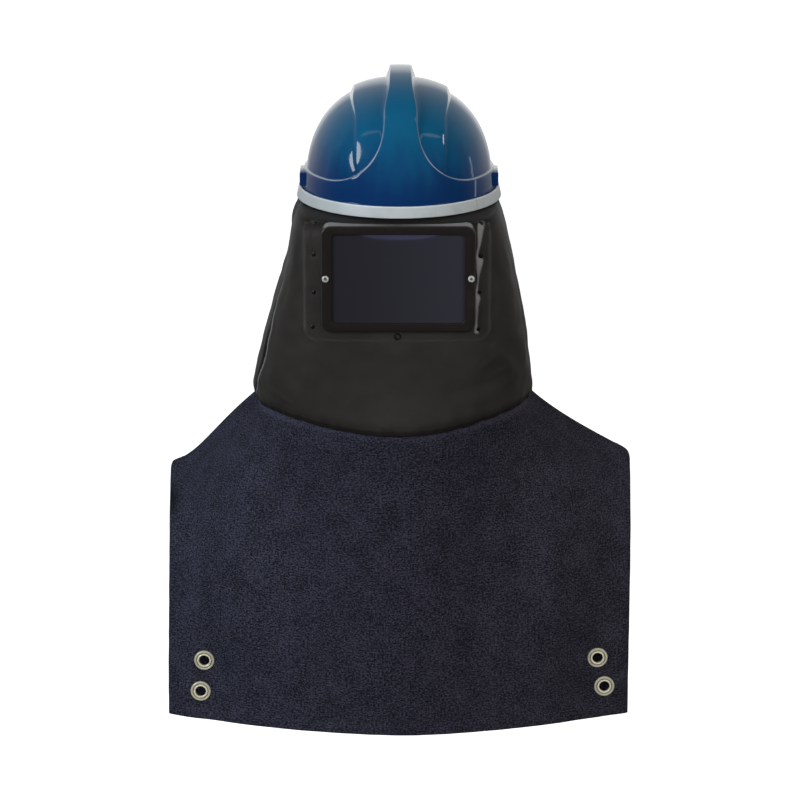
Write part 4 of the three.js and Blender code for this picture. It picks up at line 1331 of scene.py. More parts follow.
def cut_opening(piece, inside, onto):
    """Deletes the faces inside an opening and moves its new edge onto the true line."""

    def change(mesh):
        gone = [face for face in mesh.faces if inside(face.calc_center_median())]
        edge = {vert for face in gone for vert in face.verts}
        bmesh.ops.delete(mesh, geom=gone, context="FACES")
        for vert in edge:
            if vert.is_valid:
                vert.co = onto(vert.co)

    edit_mesh(piece, change)


def cut_round_hole(piece, centre, aim, radius):
    """Cuts a round hole along an aim through the cloth near a point."""

    def split(point):
        away = point - centre
        along = aim * away.dot(aim)
        return away - along, along

    def inside(point):
        across, along = split(point)
        return across.length < radius and along.length < HOLE_DEPTH

    def onto(point):
        across, along = split(point)
        return centre + across.normalized() * radius + along

    cut_opening(piece, inside, onto)


def onto_rectangle(plate):
    """Function that moves a point onto the nearest side of a rectangle in x and z."""

    def move(point):
        x, z = point.x - plate.x, point.z - plate.z
        half_x, half_z = plate.width / 2, plate.height / 2
        if half_x - abs(x) < half_z - abs(z):
            x = math.copysign(half_x, x)
        else:
            z = math.copysign(half_z, z)
        return Vector((plate.x + x, point.y, plate.z + z))

    return move


def build_hood_cloth(shape):
    """The hood's cloth as one surface with a rolled lower edge, a window and an inlet hole."""
    turns = [math.radians(degrees) for degrees in spaced(HOOD_TURNS)[:-1]]
    levels = spaced(HOOD_LEVELS)
    rows = [[shape.draped_point(turn, level) for turn in turns] for level in levels]
    edge = rows[-1]
    radius = HOOD_ROLL.radius
    for step in range(1, HOOD_ROLL.steps + 1):
        angle = math.pi * step / HOOD_ROLL.steps
        inward = radius * (1 - math.cos(angle))
        row = []
        for point in edge:
            outward = Vector((point.x, point.y, 0)).normalized()
            row.append(point - outward * inward - Vector((0, 0, radius * math.sin(angle))))
        rows.append(row)
    rows.append([point + Vector((0, 0, HOOD_ROLL.turn_up)) for point in rows[-1]])
    points = [point for row in rows for point in row]
    piece = mesh_object("black_hood", points, grid_faces(len(rows), len(turns), True))

    def in_window(centre):
        return centre.y < 0 and outline_distance(WINDOW_CUT, centre.x, centre.z) > 0

    cut_opening(piece, in_window, onto_rectangle(WINDOW_CUT))
    cut_round_hole(piece, Vector((0, INLET_BASE, INLET_HEIGHT)), Vector((0, 1, 0)), INLET_HOLE)
    edit_mesh(piece, lambda mesh: bmesh.ops.reverse_faces(mesh, faces=mesh.faces))
    # Painted highlights and painted shade on the cloth, stored for the finish
    store_values(piece, "worn", [shape.painted_light_share(vert.co) for vert in piece.data.vertices])
    return piece


def build_plate(shape):
    """Stiff plate behind the cloth round the window."""
    columns, rows = PLATE_GRID
    points, faces = [], []
    for row in range(rows + 1):
        for column in range(columns + 1):
            x = PLATE.x + PLATE.width * (column / columns - 0.5)
            z = PLATE.z + PLATE.height * (0.5 - row / rows)
            points.append(shape.face(x, z, -1, -PLATE_DEPTH))
    for face in grid_faces(rows + 1, columns + 1, False):
        centre = sum((points[i] for i in face), Vector()) / 4
        in_window = outline_distance(WINDOW_CUT, centre.x, centre.z) > 0
        if outline_distance(PLATE, centre.x, centre.z) > 0 and not in_window:
            faces.append(face)
    piece = mesh_object("window_backing", points, faces)
    edit_mesh(piece, lambda mesh: bmesh.ops.delete(
        mesh, geom=[v for v in mesh.verts if not v.link_faces], context="VERTS"))
    add_modifier(piece, "SOLIDIFY", thickness=PLATE_WALL, offset=-1.0)
    return piece


def loop_points(outline, depth):
    """Loop of points from an outline in x and z, at a depth or a depth that depends on the place."""
    return [Vector((x, depth(x, z) if callable(depth) else depth, z)) for x, z in outline]


def quarter_turn(steps):
    """Angles from 0 to 90 degrees, both included."""
    return [math.radians(90 * step / steps) for step in range(steps + 1)]


def build_frame(shape):
    """Moulded lens frame: skirt down to the cloth, round front edge, flat face, step to the lens."""

    def skirt(x, z):
        return shape.face(x, z, -1, FRAME_FORM.lift).y

    edge, inner, lip = FRAME_EDGE, FRAME_FORM.inner_edge, -FRAME_FORM.lip
    front = LENS_FRONT - FRAME_FORM.lens_gap
    back = LENS_FRONT + LENS_WALL + FRAME_FORM.back_gap
    top = FRAME.z + FRAME.height / 2
    base = []
    for x, z in rounded_outline(FRAME, FRAME_FORM.foot):
        base.append((x, z + FRAME_FLARE.rise * smoothstep(z, top - FRAME_FLARE.reach, top)))
    rings = [(FRAME, 0.0, FRAME_FRONT + edge + FRAME_FORM.side)]
    for angle in quarter_turn(6)[1:]:
        rings.append((FRAME, -edge * (1 - math.cos(angle)), FRAME_FRONT + edge * (1 - math.sin(angle))))
    for angle in quarter_turn(4):
        rings.append((LENS, inner * (1 - math.sin(angle)), FRAME_FRONT + inner * (1 - math.cos(angle))))
    rings += [(LENS, 0.0, front), (LENS, LENS_LEDGE, front), (LENS, LENS_LEDGE, back), (LENS, lip, back)]
    rings += [(LENS, lip, back + FRAME_FORM.lip_wall), (LENS, FRAME_FORM.seat, skirt)]
    loops = [loop_points(base, skirt)]
    loops += [loop_points(rounded_outline(plate, grow), depth) for plate, grow, depth in rings]
    # Painted highlight on the top ledge, and a faint one on the front rounding
    highlighted_loops, edged = FRAME_PAINTED_HIGHLIGHT.loops
    ledge_highlight = []
    for index, loop in enumerate(loops):
        for point in loop:
            outward = abs(point.x - FRAME.x) / (FRAME.width / 2)
            share = smoothstep(point.z, top - FRAME_PAINTED_HIGHLIGHT.reach, top)
            share *= lerp(FRAME_PAINTED_HIGHLIGHT.middle, FRAME_PAINTED_HIGHLIGHT.corner, outward)
            ledge_highlight.append(share if index < highlighted_loops else FRAME_PAINTED_HIGHLIGHT.edge if index < edged else 0.0)
    points = [point for loop in loops for point in loop]
    faces = tube_faces(len(loops), len(base), True)
    return closed_piece("lens_frame_moulding", points, faces, {"worn": ledge_highlight}, SHARP.frame)


def build_lens():
    """Flat lens with a fine polished edge."""
    grow = LENS_LEDGE - LENS_PLAY
    depths = ((-LENS_EDGE, 0.0), (0.0, LENS_EDGE), (0.0, LENS_WALL - LENS_EDGE), (-LENS_EDGE, LENS_WALL))
    points = []
    for inset, depth in depths:
        points += loop_points(rounded_outline(LENS, grow + inset), LENS_FRONT + depth)
    faces = tube_faces(len(depths), len(points) // len(depths), False)
    return closed_piece("dark_lens", points, faces, sharp=SHARP.lens)


def screw_template():
    """Pan-head screw with a cross recess, made round Z and standing on 0."""
    radius, height, slot = SCREW.radius, SCREW.height, SCREW.slot
    profile = [(radius * 0.96, -SCREW.foot), (radius, SCREW.foot)]
    for degrees in range(10, 90, 10):
        angle = math.radians(degrees)
        profile.append((radius * math.cos(angle), height * (0.35 + 0.65 * math.sin(angle))))
    profile.append((SCREW.tip, height))
    head = closed_piece("screw_head", *lathe(profile, SEGMENTS.screw))
    for turn in (0, 90):
        spin = Matrix.Rotation(math.radians(turn), 4, "Z")
        corners = []
        for z, grow in ((height - SCREW.recess, 0.55), (height + SCREW.clear, 1.25)):
            arm = SCREW.arm * grow
            outline = ((-arm, -slot), (arm, -slot), (arm, slot), (-arm, slot))
            corners += [spin @ Vector((x, y, z)) for x, y in outline]
        cutter = closed_piece("cross_cutter", corners, BOX_FACES, smooth=False)
        cut = add_modifier(head, "BOOLEAN", operation="DIFFERENCE", solver="EXACT", object=cutter)
        mesh = applied_mesh(head)
        head.modifiers.remove(cut)
        head.data = mesh
        bpy.data.objects.remove(cutter)
    sharpen(head, SHARP.screw)
    return head


def rivet_template():
    """Domed rivet head with a pressed rim."""
    radius, height, rim_top = RIVET.radius, RIVET.height, RIVET.rim_top
    profile = [(radius * 0.9, -RIVET.root), (radius, 0.0), (radius, RIVET.rim), (radius * 0.9, rim_top)]
    for degrees in range(12, 90, 13):
        angle = math.radians(degrees)
        profile.append((radius * 0.82 * math.cos(angle), rim_top + (height - rim_top) * math.sin(angle)))
    profile.append((RIVET.tip, height))
    return closed_piece("rivet_head", *lathe(profile, SEGMENTS.rivet))


def hollow_rivet_template():
    """Rolled tubular rivet: a ring round an open bore."""
    radius, bore, root = HOLLOW_RIVET.radius, HOLLOW_RIVET.bore, -HOLLOW_RIVET.root
    roll = (radius - bore) / 2
    profile = arc((bore + roll, HOLLOW_RIVET.height - roll), roll, 0, 180, 12)
    profile += [(bore, -HOLLOW_RIVET.floor), (bore * 0.3, -HOLLOW_RIVET.step)]
    profile += [(bore * 0.3, root), (radius, root)]
    return closed_piece("hollow_rivet_head", *lathe(profile, SEGMENTS.hollow_rivet, closed=True))


def eyelet_template():
    """Rolled eyelet: outer roll, groove, inner roll and barrel."""
    profile = [(5.8, -3.6), (5.8, 1.4)]
    profile += arc((6.75, 1.6), 0.95, 180, 20, 8)
    profile += arc((8.2, 1.55), 0.6, 200, 330, 5)
    profile += arc((9.75, 1.0), 1.35, 140, 0, 9)
    profile += [(11.3, 0.5), (11.35, 0.0), (11.0, -0.5), (7.0, -0.6), (6.6, -2.6), (9.6, -2.7), (9.4, -3.4)]
    points, faces = lathe([(r * MM, h * MM) for r, h in profile], SEGMENTS.eyelet, closed=True)
    polish = []
    for x, y, z in points:
        reach = math.hypot(x, y)
        groove = 1 - EYELET_POLISH.groove_share * hump(reach, *EYELET_POLISH.groove)
        outer = 1 - EYELET_POLISH.outer_share * smoothstep(reach, *EYELET_POLISH.outer)
        polish.append(smoothstep(z, *EYELET_POLISH.height) * groove * outer)
    return closed_piece("eyelet_ring", points, faces, {"polish": polish})


def stitch_template(length, thickness):
    """One short stitch of round thread that dips into the cloth at both ends."""
    rings, sides = 5, 5
    points = []
    for ring in range(rings):
        along = ring / (rings - 1)
        girth = thickness / 2 * (0.45 + 0.55 * math.sin(math.pi * along))
        lift = thickness * (0.35 * math.sin(math.pi * along) - 0.15)
        for side in range(sides):
            turn = 2 * math.pi * side / sides
            points.append((length * (along - 0.5), girth * math.cos(turn), lift + girth * math.sin(turn)))
    return closed_piece("stitch", points, tube_faces(rings, sides, False))


class CapeShape:
    """One cape panel's cloth: a grid of points from its top edge to its hem."""

    def __init__(self, hood, panel, hem_width):
        self.hood = hood
        self.panel = panel
        self.hem_width = hem_width
        self.shares = spaced(CAPE_SHARES)
        self.downs = spaced(CAPE_DOWNS)
        self.tops = [self.top(share) for share in self.shares]
        self.soft_tops = [self.soft_top(share) for share in self.shares]
        self.hems = [self.hem(share) for share in self.shares]
        plain = [[self.plain(c, down) for c in range(len(self.shares))] for down in self.downs]
        if panel.side < 0:
            for x, z in EYELETS:
                self.flatten(plain, x * MM, z * MM)
        self.flat = self.flat_places(plain)
        self.normals = self.grid_normals(plain)
        self.points = [
            [self.finished(plain, row, column) for column in range(len(self.shares))]
            for row in range(len(self.downs))
        ]

    def top(self, share):
        """Top edge: under the hood's edge round the neck, and out along the shoulder at the sides."""
        side = self.panel.side
        from_side = min(share, 1 - share)
        if from_side >= CAPE_SHOULDER_SHARE:
            around = (share - CAPE_SHOULDER_SHARE) / (1 - 2 * CAPE_SHOULDER_SHARE)
            turn = math.pi - side * math.pi * around
            seam = self.hood.point(turn, 1.0, -CAPE_TUCK.inward)
            overlap = -side * CAPE_OVERLAP * abs(math.cos(turn))
            return seam + Vector((0, overlap, CAPE_TUCK.up * math.sin(turn) ** 2))
        left = share < 0.5
        neck = self.hood.point(math.pi if left else 0.0, 1.0, -CAPE_TUCK.inward)
        tip = CAPE_TIPS["left" if left else "right"]
        out = 1 - from_side / CAPE_SHOULDER_SHARE
        sag = tip.sag * math.sin(out ** tip.power * math.pi)
        return Vector((lerp(neck.x, tip.x, out), -side * CAPE_OVERLAP, lerp(neck.z, tip.z, out) - sag))

    def soft_top(self, share):
        """Top edge with its corners eased, for the cloth below it."""
        reach = min(share, 1 - share, CAPE_CORNER.share)
        steps = CAPE_CORNER.steps
        nearby = [self.top(share + reach * step / steps) for step in range(-steps, steps + 1)]
        return sum(nearby, Vector()) / len(nearby)

    def hem(self, share):
        """Lower edge, which bows out at the middle."""
        x = lerp(-self.panel.half, self.panel.half, share)
        out = (abs(x) / self.panel.half) ** CAPE_HEM_POWER
        depth = lerp(self.panel.centre, self.panel.edge, out)
        return Vector((x, self.panel.side * depth, self.panel.hem))

    def plain(self, column, down):
        """Point of the smooth panel."""
        side = self.panel.side
        share = self.shares[column]
        top = self.tops[column].lerp(self.soft_tops[column], smoothstep(down, 0, CAPE_CORNER.down))
        hem = self.hems[column]
        comes_forward = side * (hem.y - top.y) > 0
        forward = 1 - (1 - down) ** CAPE_EASE if comes_forward else down
        from_side = min(share, 1 - share)
        swell = CAPE_SWELL.rise * hump(from_side, CAPE_SWELL.centre, CAPE_SWELL.centre)
        swell *= math.sin(math.pi * down ** CAPE_SWELL.power)
        depth = lerp(top.y, hem.y, forward) + side * swell
        point = Vector((lerp(top.x, hem.x, down), depth, lerp(top.z, hem.z, down)))
        near_side = max(0.0, 1 - from_side / CAPE_TIP_ROUND.share)
        near_top = max(0.0, 1 - down / CAPE_TIP_ROUND.down)
        pull = CAPE_TIP_ROUND.move * (near_side * near_top) ** 2
        return point + Vector((math.copysign(pull, -point.x), 0, -CAPE_TIP_ROUND.drop * pull))

    def flatten(self, grid, x, z):
        """Presses the cloth round an eyelet flat, so that it faces more to the front."""

        def away(point):
            return math.hypot(point.x - x, point.z - z)

        line = min(grid, key=lambda row: min(away(point) for point in row))
        column = min(range(len(line)), key=lambda c: away(line[c]))
        run = line[column + 2] - line[column - 2]
        slope = run.y / run.x
        depth = line[column].y + slope * (x - line[column].x)
        for point in (point for row in grid for point in row):
            near = math.exp(-(away(point) / EYELET_FLAT.reach) ** 2)
            point.y = lerp(point.y, depth + EYELET_FLAT.slope * slope * (point.x - x), near)

    def flat_places(self, grid):
        """Places on the flat cloth, measured along the grid's rows and columns from its middle."""
        middle = len(self.shares) // 2
        places = []
        depth = [0.0] * len(self.shares)
        for row, line in enumerate(grid):
            across = [0.0] * len(line)
            for c in range(middle + 1, len(line)):
                across[c] = across[c - 1] + (line[c] - line[c - 1]).length
            for c in range(middle - 1, -1, -1):
                across[c] = across[c + 1] - (line[c] - line[c + 1]).length
            if row:
                depth = [d + (p - q).length for d, p, q in zip(depth, line, grid[row - 1])]
            places.append([(u, -v) for u, v in zip(across, depth)])
        low = [places[-1][c][1] for c in range(len(self.shares))]
        return [[(u, v - low[c]) for c, (u, v) in enumerate(line)] for line in places]

    def grid_normals(self, grid):
        """Outward directions over a grid."""
        rows, columns = len(grid), len(grid[0])
        normals = []
        for r in range(rows):
            line = []
            for c in range(columns):
                across = grid[r][min(c + 1, columns - 1)] - grid[r][max(c - 1, 0)]
                down = grid[min(r + 1, rows - 1)][c] - grid[max(r - 1, 0)][c]
                normal = down.cross(across).normalized()
                line.append(normal if normal.y * self.panel.side > 0 else -normal)
            normals.append(line)
        return normals

    def finished(self, plain, row, column):
        """Point with soft waves, a turned hem and small puckers beside its stitching."""
        point = plain[row][column]
        share, down = self.shares[column], self.downs[row]
        width = 2 * self.panel.half
        from_side = min(share, 1 - share) * width
        from_edge = min(from_side, self.flat[row][column][1])
        across = CAPE_WAVE.across
        wave = noise.noise(Vector((point.x / across, point.z / (3 * across), CAPE_NOISE_HEIGHT)))
        push = CAPE_WAVE.rise * wave * smoothstep(down, *CAPE_WAVE_DOWNS)
        pucker = noise.noise(point / CAPE_PUCKER.across)
        push += CAPE_PUCKER.rise * pucker * smoothstep(from_edge, 3 * self.hem_width, self.hem_width)
        blend = CAPE_HEM.blend
        push += CAPE_HEM.rise * smoothstep(from_edge, self.hem_width + blend, self.hem_width - blend)
        push -= CAPE_HEM.dent * hump(from_edge, self.hem_width - STITCH.inset, CAPE_HEM.dent_reach)
        push -= CAPE_CURL.move * max(0.0, 1 - from_side / CAPE_CURL.reach) ** 2
        return point + self.normals[row][column] * push

    def ridge_highlight(self, row, column):
        """Painted highlight on the ridge below the neck seam."""
        below = self.flat[0][column][1] - self.flat[row][column][1]
        from_side = min(self.shares[column], 1 - self.shares[column])
        at_neck = smoothstep(from_side, CAPE_SHOULDER_SHARE, 1.5 * CAPE_SHOULDER_SHARE)
        return smoothstep(below, *CAPE_RIDGE_HIGHLIGHT) * at_neck

    def place_on(self, x, z):
        """Point of the cloth at a place seen from the front, and its outward direction."""
        _, row, column = min(
            ((p.x - x) ** 2 + (p.z - z) ** 2, r, c)
            for r, line in enumerate(self.points) for c, p in enumerate(line)
        )
        point, normal = self.points[row][column], self.normals[row][column]
        shift = Vector((x - point.x, 0, z - point.z))
        return point + shift - Vector((0, normal.dot(shift) / normal.y, 0)), normal

    def stitch_paths(self):
        """Lines of stitching: two sides and the hem, and along both shoulders."""
        columns, middle = len(self.shares), len(self.shares) // 2
        from_edge = self.hem_width - STITCH.inset
        inset = from_edge / (2 * self.panel.half)
        left = min(range(columns), key=lambda c: abs(self.shares[c] - inset))
        low = min(range(len(self.downs)), key=lambda r: abs(self.flat[r][middle][1] - from_edge))
        high = STITCH_TOP_ROW
        shoulder = [c for c in range(left, columns) if self.shares[c] < CAPE_SHOULDER_SHARE * STITCH_SHOULDER]
        lines = [
            [(r, left) for r in range(high, low + 1)],
            [(r, columns - 1 - left) for r in range(high, low + 1)],
            [(low, c) for c in range(left, columns - left)],
            [(high, c) for c in shoulder],
            [(high, columns - 1 - c) for c in shoulder],
        ]
        points, aims, edges = [], [], []
        for line in lines:
            for step, (r, c) in enumerate(line):
                if step:
                    edges.append((len(points) - 1, len(points)))
                points.append(self.points[r][c] + self.normals[r][c] * STITCH.lift)
                aims.append(self.normals[r][c])
        return points, aims, edges


def build_cape_panel(name, shape, wall):
    """One panel as a mesh with its flat places as UV, open at its eyelets."""
    rows, columns = len(shape.points), len(shape.points[0])
    points = [point for line in shape.points for point in line]
    faces = grid_faces(rows, columns, False)
    if shape.panel.side < 0:
        faces = [tuple(reversed(face)) for face in faces]
    piece = mesh_object(name, points, faces)
    layer = piece.data.uv_layers.new(name="UVMap")
    flat = [place for line in shape.flat for place in line]
    for loop in piece.data.loops:
        layer.data[loop.index].uv = flat[loop.vertex_index]
    # Painted highlight along the ridge below the neck seam, stored for the finish
    fading_and_highlight = [shape.ridge_highlight(row, column) for row in range(rows) for column in range(columns)]
    store_values(piece, "worn", fading_and_highlight)
    if shape.panel.side < 0:
        for x, z in EYELETS:
            cut_round_hole(piece, *shape.place_on(x * MM, z * MM), EYELET_HOLE)
    add_modifier(piece, "SOLIDIFY", thickness=wall, offset=0.0)
    return piece


def inlet_profile():
    """Spigot from its inner end to its outer end: bore, rim, barbs, pipe, flange."""
    profile = [(15.5, -6.0), (15.5, 33.4), (16.1, 34.0), (18.0, 34.0), (18.6, 33.4)]
    for ring in range(3):
        start = 31.0 - 6.5 * ring
        profile += [(18.7, start), (19.6, start - 3.6), (19.5, start - 4.1), (18.5, start - 4.3)]
    profile += [(18.5, 7.0), (19.3, 5.2), (21.0, 4.2), (30.6, 3.9), (31.6, 3.4), (32.0, 2.4), (32.0, 0.5)]
    profile.append((31.6, 0.1))
    profile += [(19.2, 0.0), (19.2, -2.0), (24.0, -2.2), (24.0, -5.2), (23.4, -6.0)]
    return [(r * MM, h * MM) for r, h in profile]


def build_inlet(shape):
    """Barbed air spigot whose flange follows the curve of the hood's back."""
    points, faces = lathe(inlet_profile(), SEGMENTS.inlet, closed=True)
    rest = shape.face(0.0, INLET_HEIGHT, 1).y
    placed = []
    for x, y, along in points:
        point = Vector((x, INLET_BASE + along, INLET_HEIGHT + y))
        if math.hypot(x, y) > INLET_PIPE:
            point.y += shape.face(x, point.z, 1).y - rest
        placed.append(point)
    return closed_piece("air_spigot", placed, faces, sharp=SHARP.inlet)


def length_property(name, description, default):
    """A length in metres that a user can change."""
    return FloatProperty(name=name, description=description, default=default, unit="LENGTH")


def colour_property(name, description, default):
    """A colour that a user can change."""
    return FloatVectorProperty(name=name, description=description, default=default, subtype="COLOR")


class AIRHOOD_PG_hat(bpy.types.PropertyGroup):
    half_width: length_property("Half width", "Half the dome's width at the rim", 0.1005)
    half_length: length_property("Half length", "Half the dome's length at the rim", 0.131)
    height: length_property("Height", "Height of the plain dome", 0.109)
    crest_rise: length_property("Crest rise", "How far the crest stands above the dome", 0.0175)
    crest_half_width: length_property("Crest half width", "Half the crest's width", 0.016)
    panel_rise: length_property("Panel rise", "Step of the inner panels", 0.005)
    colour: colour_property("Colour", "Blue of the shell's top", (0.0072, 0.113, 0.236))
    deep_colour: colour_property("Deep colour", "Darker blue of its lower band", (0.0045, 0.035, 0.135))
    step_highlight_colour: colour_property("Rubbed colour", "Pale blue of its rubbed edges", (0.62, 0.71, 0.82))


class AIRHOOD_PG_band(bpy.types.PropertyGroup):
    height: length_property("Height", "Height of the rim band", 0.0121)
    colour: colour_property("Colour", "Pale grey of the band", (0.5, 0.55, 0.57))


class AIRHOOD_PG_hood(bpy.types.PropertyGroup):
    wall: length_property("Wall", "Thickness of the coated cloth", 0.0014)
    colour: colour_property("Colour", "Black of the coating", (0.028, 0.0258, 0.0242))
    painted_light_colour: colour_property(
        "Worn colour", "Grey of the coating where it is worn", (0.225, 0.221, 0.216))


class AIRHOOD_PG_window(bpy.types.PropertyGroup):
    frame_colour: colour_property("Frame colour", "Black of the frame", (0.016, 0.0129, 0.0127))
    lens_colour: colour_property("Lens colour", "Tint of the lens", (0.0222, 0.0222, 0.0295))


class AIRHOOD_PG_cape(bpy.types.PropertyGroup):
    wall: length_property("Wall", "Thickness of the denim", 0.0014)
    hem_width: length_property("Hem", "Width of the turned hem", 0.0115)
    stitch_pitch: length_property("Stitch pitch", "Distance from stitch to stitch", 0.0034)
    indigo: colour_property("Indigo", "Colour of the dyed warp", (0.0088, 0.009, 0.014))
    weft: colour_property("Weft", "Colour of the pale weft where it is bluest", (0.066, 0.0695, 0.107))
    dark_weft: colour_property(
        "Dark weft", "Colour of the weft where it is darkest", (0.06, 0.0585, 0.087))
    neutral_weft: colour_property(
        "Neutral weft", "Colour of the pale weft where it is greyest", (0.0635, 0.0615, 0.085))


class AIRHOOD_PG_fittings(bpy.types.PropertyGroup):
    brass_colour: colour_property("Brass", "Polished pale gold", (1.0, 0.95, 0.76))
    tarnish_colour: colour_property("Tarnish", "Brown in the groove", (0.17, 0.145, 0.07))
    rivet_colour: colour_property("Rivet", "Black of the rivets", (0.008, 0.0075, 0.007))


class AIRHOOD_PG_stage(bpy.types.PropertyGroup):
    elevation: FloatProperty(
        name="Elevation", description="Camera height as an angle",
        default=math.radians(13.4), subtype="ANGLE")
    distance: length_property("Distance", "Camera distance from its target", 4.5)
    focal_length: FloatProperty(
        name="Focal length", description="Lens on a 36 mm sensor, in millimetres", default=186.19)
    target: FloatVectorProperty(
        name="Target", description="Point at the picture's middle", default=(0.001084, -0.04, -0.23228),
        subtype="XYZ")
    floor_height: length_property("Floor height", "Height of the floor, well below the hem", -0.95)
    floor_colour: colour_property("Floor colour", "Pale paper", (0.82, 0.82, 0.82))
    floor_glow: FloatProperty(name="Floor glow", description="Light that the floor gives off", default=1.15)
    room_colour: colour_property("Room colour", "Dim light of the room ahead", (0.02, 0.02, 0.02))
    backdrop_colour: colour_property(
        "Backdrop colour", "Bright light of the backdrop behind", (1.0, 1.0, 1.0))


class AIRHOOD_OT_hat(bpy.types.Operator):
    """Build the hat shell with its crest, panels, flange and lugs"""

    bl_idname = "air_hood.hat"
    bl_label = "Hat shell"

    def execute(self, context):
        hat = context.scene.air_hood_hat
        halves = [hat_half(hat, side) for side in (-1, 1)]
        parts = [(points, faces) for points, faces, _ in halves]
        section = rounded_section(FLANGE.wall, FLANGE.bottom, FLANGE.top, FLANGE.edge)
        outline = ellipse_outline(FLANGE.half_width, FLANGE.half_length)
        points, faces = ring_strip(outline, section, 0, 2 * math.pi, SEGMENTS.flange)
        parts.append((points, faces[:-2]))
        piece = join_meshes("blue_hat", parts)
        painted_step_lights = [painted_step_light for _, _, half in halves for painted_step_light in half]
        # Painted step light, stored for the finish
        store_values(piece, "painted_step_light", painted_step_lights + [0.0] * len(points))
        merge_and_point_out(piece)
        for side in (-1, 1):
            add_lug(piece, side)
        shade_smooth(piece.data)
        sharpen(piece, SHARP.hat)
        finish_piece(piece, hat_finish(hat), ["hat_shell"])
        return {"FINISHED"}


class AIRHOOD_OT_band(bpy.types.Operator):
    """Build the rim band with its butt joint"""

    bl_idname = "air_hood.band"
    bl_label = "Rim band"

    def execute(self, context):
        band = context.scene.air_hood_band
        upright = rounded_section(BAND.wall, BAND.top - band.height, BAND.top, BAND.edge)
        middle = BAND.top - band.height / 2
        section = [(out + BAND_LEAN * (middle - z), z) for out, z in upright]
        outline = ellipse_outline(BAND.half_width, BAND.half_length)
        start = BAND_JOINT_TURN + BAND_JOINT_GAP / 2
        end = BAND_JOINT_TURN + 2 * math.pi - BAND_JOINT_GAP / 2
        strip = ring_strip(outline, section, start, end, SEGMENTS.band)
        piece = closed_piece("grey_band", *strip, sharp=SHARP.band)
        finish_piece(piece, band_finish(band), ["rim_band"])
        return {"FINISHED"}


class AIRHOOD_OT_hood(bpy.types.Operator):
    """Build the coated cloth hood and the plate behind its window"""

    bl_idname = "air_hood.hood"
    bl_label = "Hood"

    def execute(self, context):
        hood = context.scene.air_hood_hood
        window = context.scene.air_hood_window
        shape = HoodShape()
        cloth = build_hood_cloth(shape)
        add_modifier(cloth, "SOLIDIFY", thickness=hood.wall, offset=0.0)
        finish_piece(cloth, hood_finish(hood), ["hood"])
        plate = build_plate(shape)
        backing = moulding_finish("backing_plastic", window.frame_colour, roughness=0.5)
        finish_piece(plate, backing, ["window_plate"])
        return {"FINISHED"}


class AIRHOOD_OT_window(bpy.types.Operator):
    """Build the lens frame and the lens"""

    bl_idname = "air_hood.window"
    bl_label = "Lens window"

    def execute(self, context):
        window = context.scene.air_hood_window
        moulding = moulding_finish("frame_plastic", window.frame_colour, roughness=0.36)
        finish_piece(build_frame(HoodShape()), moulding, ["lens_frame"])
        finish_piece(build_lens(), lens_finish(window), ["lens"])
        return {"FINISHED"}


class AIRHOOD_OT_fasteners(bpy.types.Operator):
    """Build the screws and rivets round the window"""

    bl_idname = "air_hood.fasteners"
    bl_label = "Screws and rivets"

    def execute(self, context):
        fittings = context.scene.air_hood_fittings
        shape = HoodShape()
        tree = heads_tree()
        zinc = zinc_finish()
        black = moulding_finish("rivet_black", fittings.rivet_colour, roughness=0.25)

        def on_cloth(x, z, lift):
            return shape.face(x, z, -1, lift), shape.normal(x, z)

        ahead = Vector((0, -1, 0))
        places = [(Vector((x * MM, FRAME_FRONT, z * MM)), ahead) for x, z in SCREWS]
        screws = heads_piece("zinc_screws", screw_template(), places, tree, zinc, Spin=SCREW_SPIN)
        sharpen(screws, SHARP.screw)
        finish_piece(screws, zinc, ["screw_left", "screw_right"])
        places = [on_cloth(x * MM, z * MM, RIVET.lift) for x, z in RIVETS]
        rivets = heads_piece("black_rivets", rivet_template(), places, tree, black)
        names = [f"rivet_{side}_{row}" for side in ("left", "right") for row in range(1, 5)]
        finish_piece(rivets, black, names)
        places = [on_cloth(HOLLOW_RIVET.x, HOLLOW_RIVET.z, HOLLOW_RIVET.lift)]
        bottom = heads_piece("hollow_rivet", hollow_rivet_template(), places, tree, black)
        finish_piece(bottom, black, ["rivet_bottom"])
        return {"FINISHED"}


class AIRHOOD_OT_cape(bpy.types.Operator):
    """Build the two denim panels and their stitching"""

    bl_idname = "air_hood.cape"
    bl_label = "Cape"

    def execute(self, context):
        cape = context.scene.air_hood_cape
        hood = HoodShape()
        denim = denim_finish(cape)
        thread = thread_finish(cape)
        tree = stitches_tree()
        for name, panel in CAPE_PANELS.items():
            shape = CapeShape(hood, panel, cape.hem_width)
            cloth = build_cape_panel(f"denim_{name}", shape, cape.wall)
            finish_piece(cloth, denim, [f"cape_{name}"])
            stitch = stitch_template(cape.stitch_pitch * STITCH_SHARE, STITCH.thickness)
            values = {"Stitch": stitch, "Material": thread, "Pitch": cape.stitch_pitch}
            stitches = grown_piece(f"stitches_{name}", *shape.stitch_paths(), tree, values, stitch)
            finish_piece(stitches, thread)
        return {"FINISHED"}


class AIRHOOD_OT_eyelets(bpy.types.Operator):
    """Build the brass eyelets in the front panel"""

    bl_idname = "air_hood.eyelets"
    bl_label = "Eyelets"

    def execute(self, context):
        cape = context.scene.air_hood_cape
        shape = CapeShape(HoodShape(), CAPE_PANELS["front"], cape.hem_width)
        brass = brass_finish(context.scene.air_hood_fittings)
        found = [shape.place_on(x * MM, z * MM) for x, z in EYELETS]
        places = [(point + normal * cape.wall / 2, normal) for point, normal in found]
        piece = heads_piece("brass_eyelets", eyelet_template(), places, heads_tree(), brass)
        names = [f"eyelet_{side}_{row}" for side in ("left", "right") for row in ("upper", "lower")]
        finish_piece(piece, brass, names)
        return {"FINISHED"}


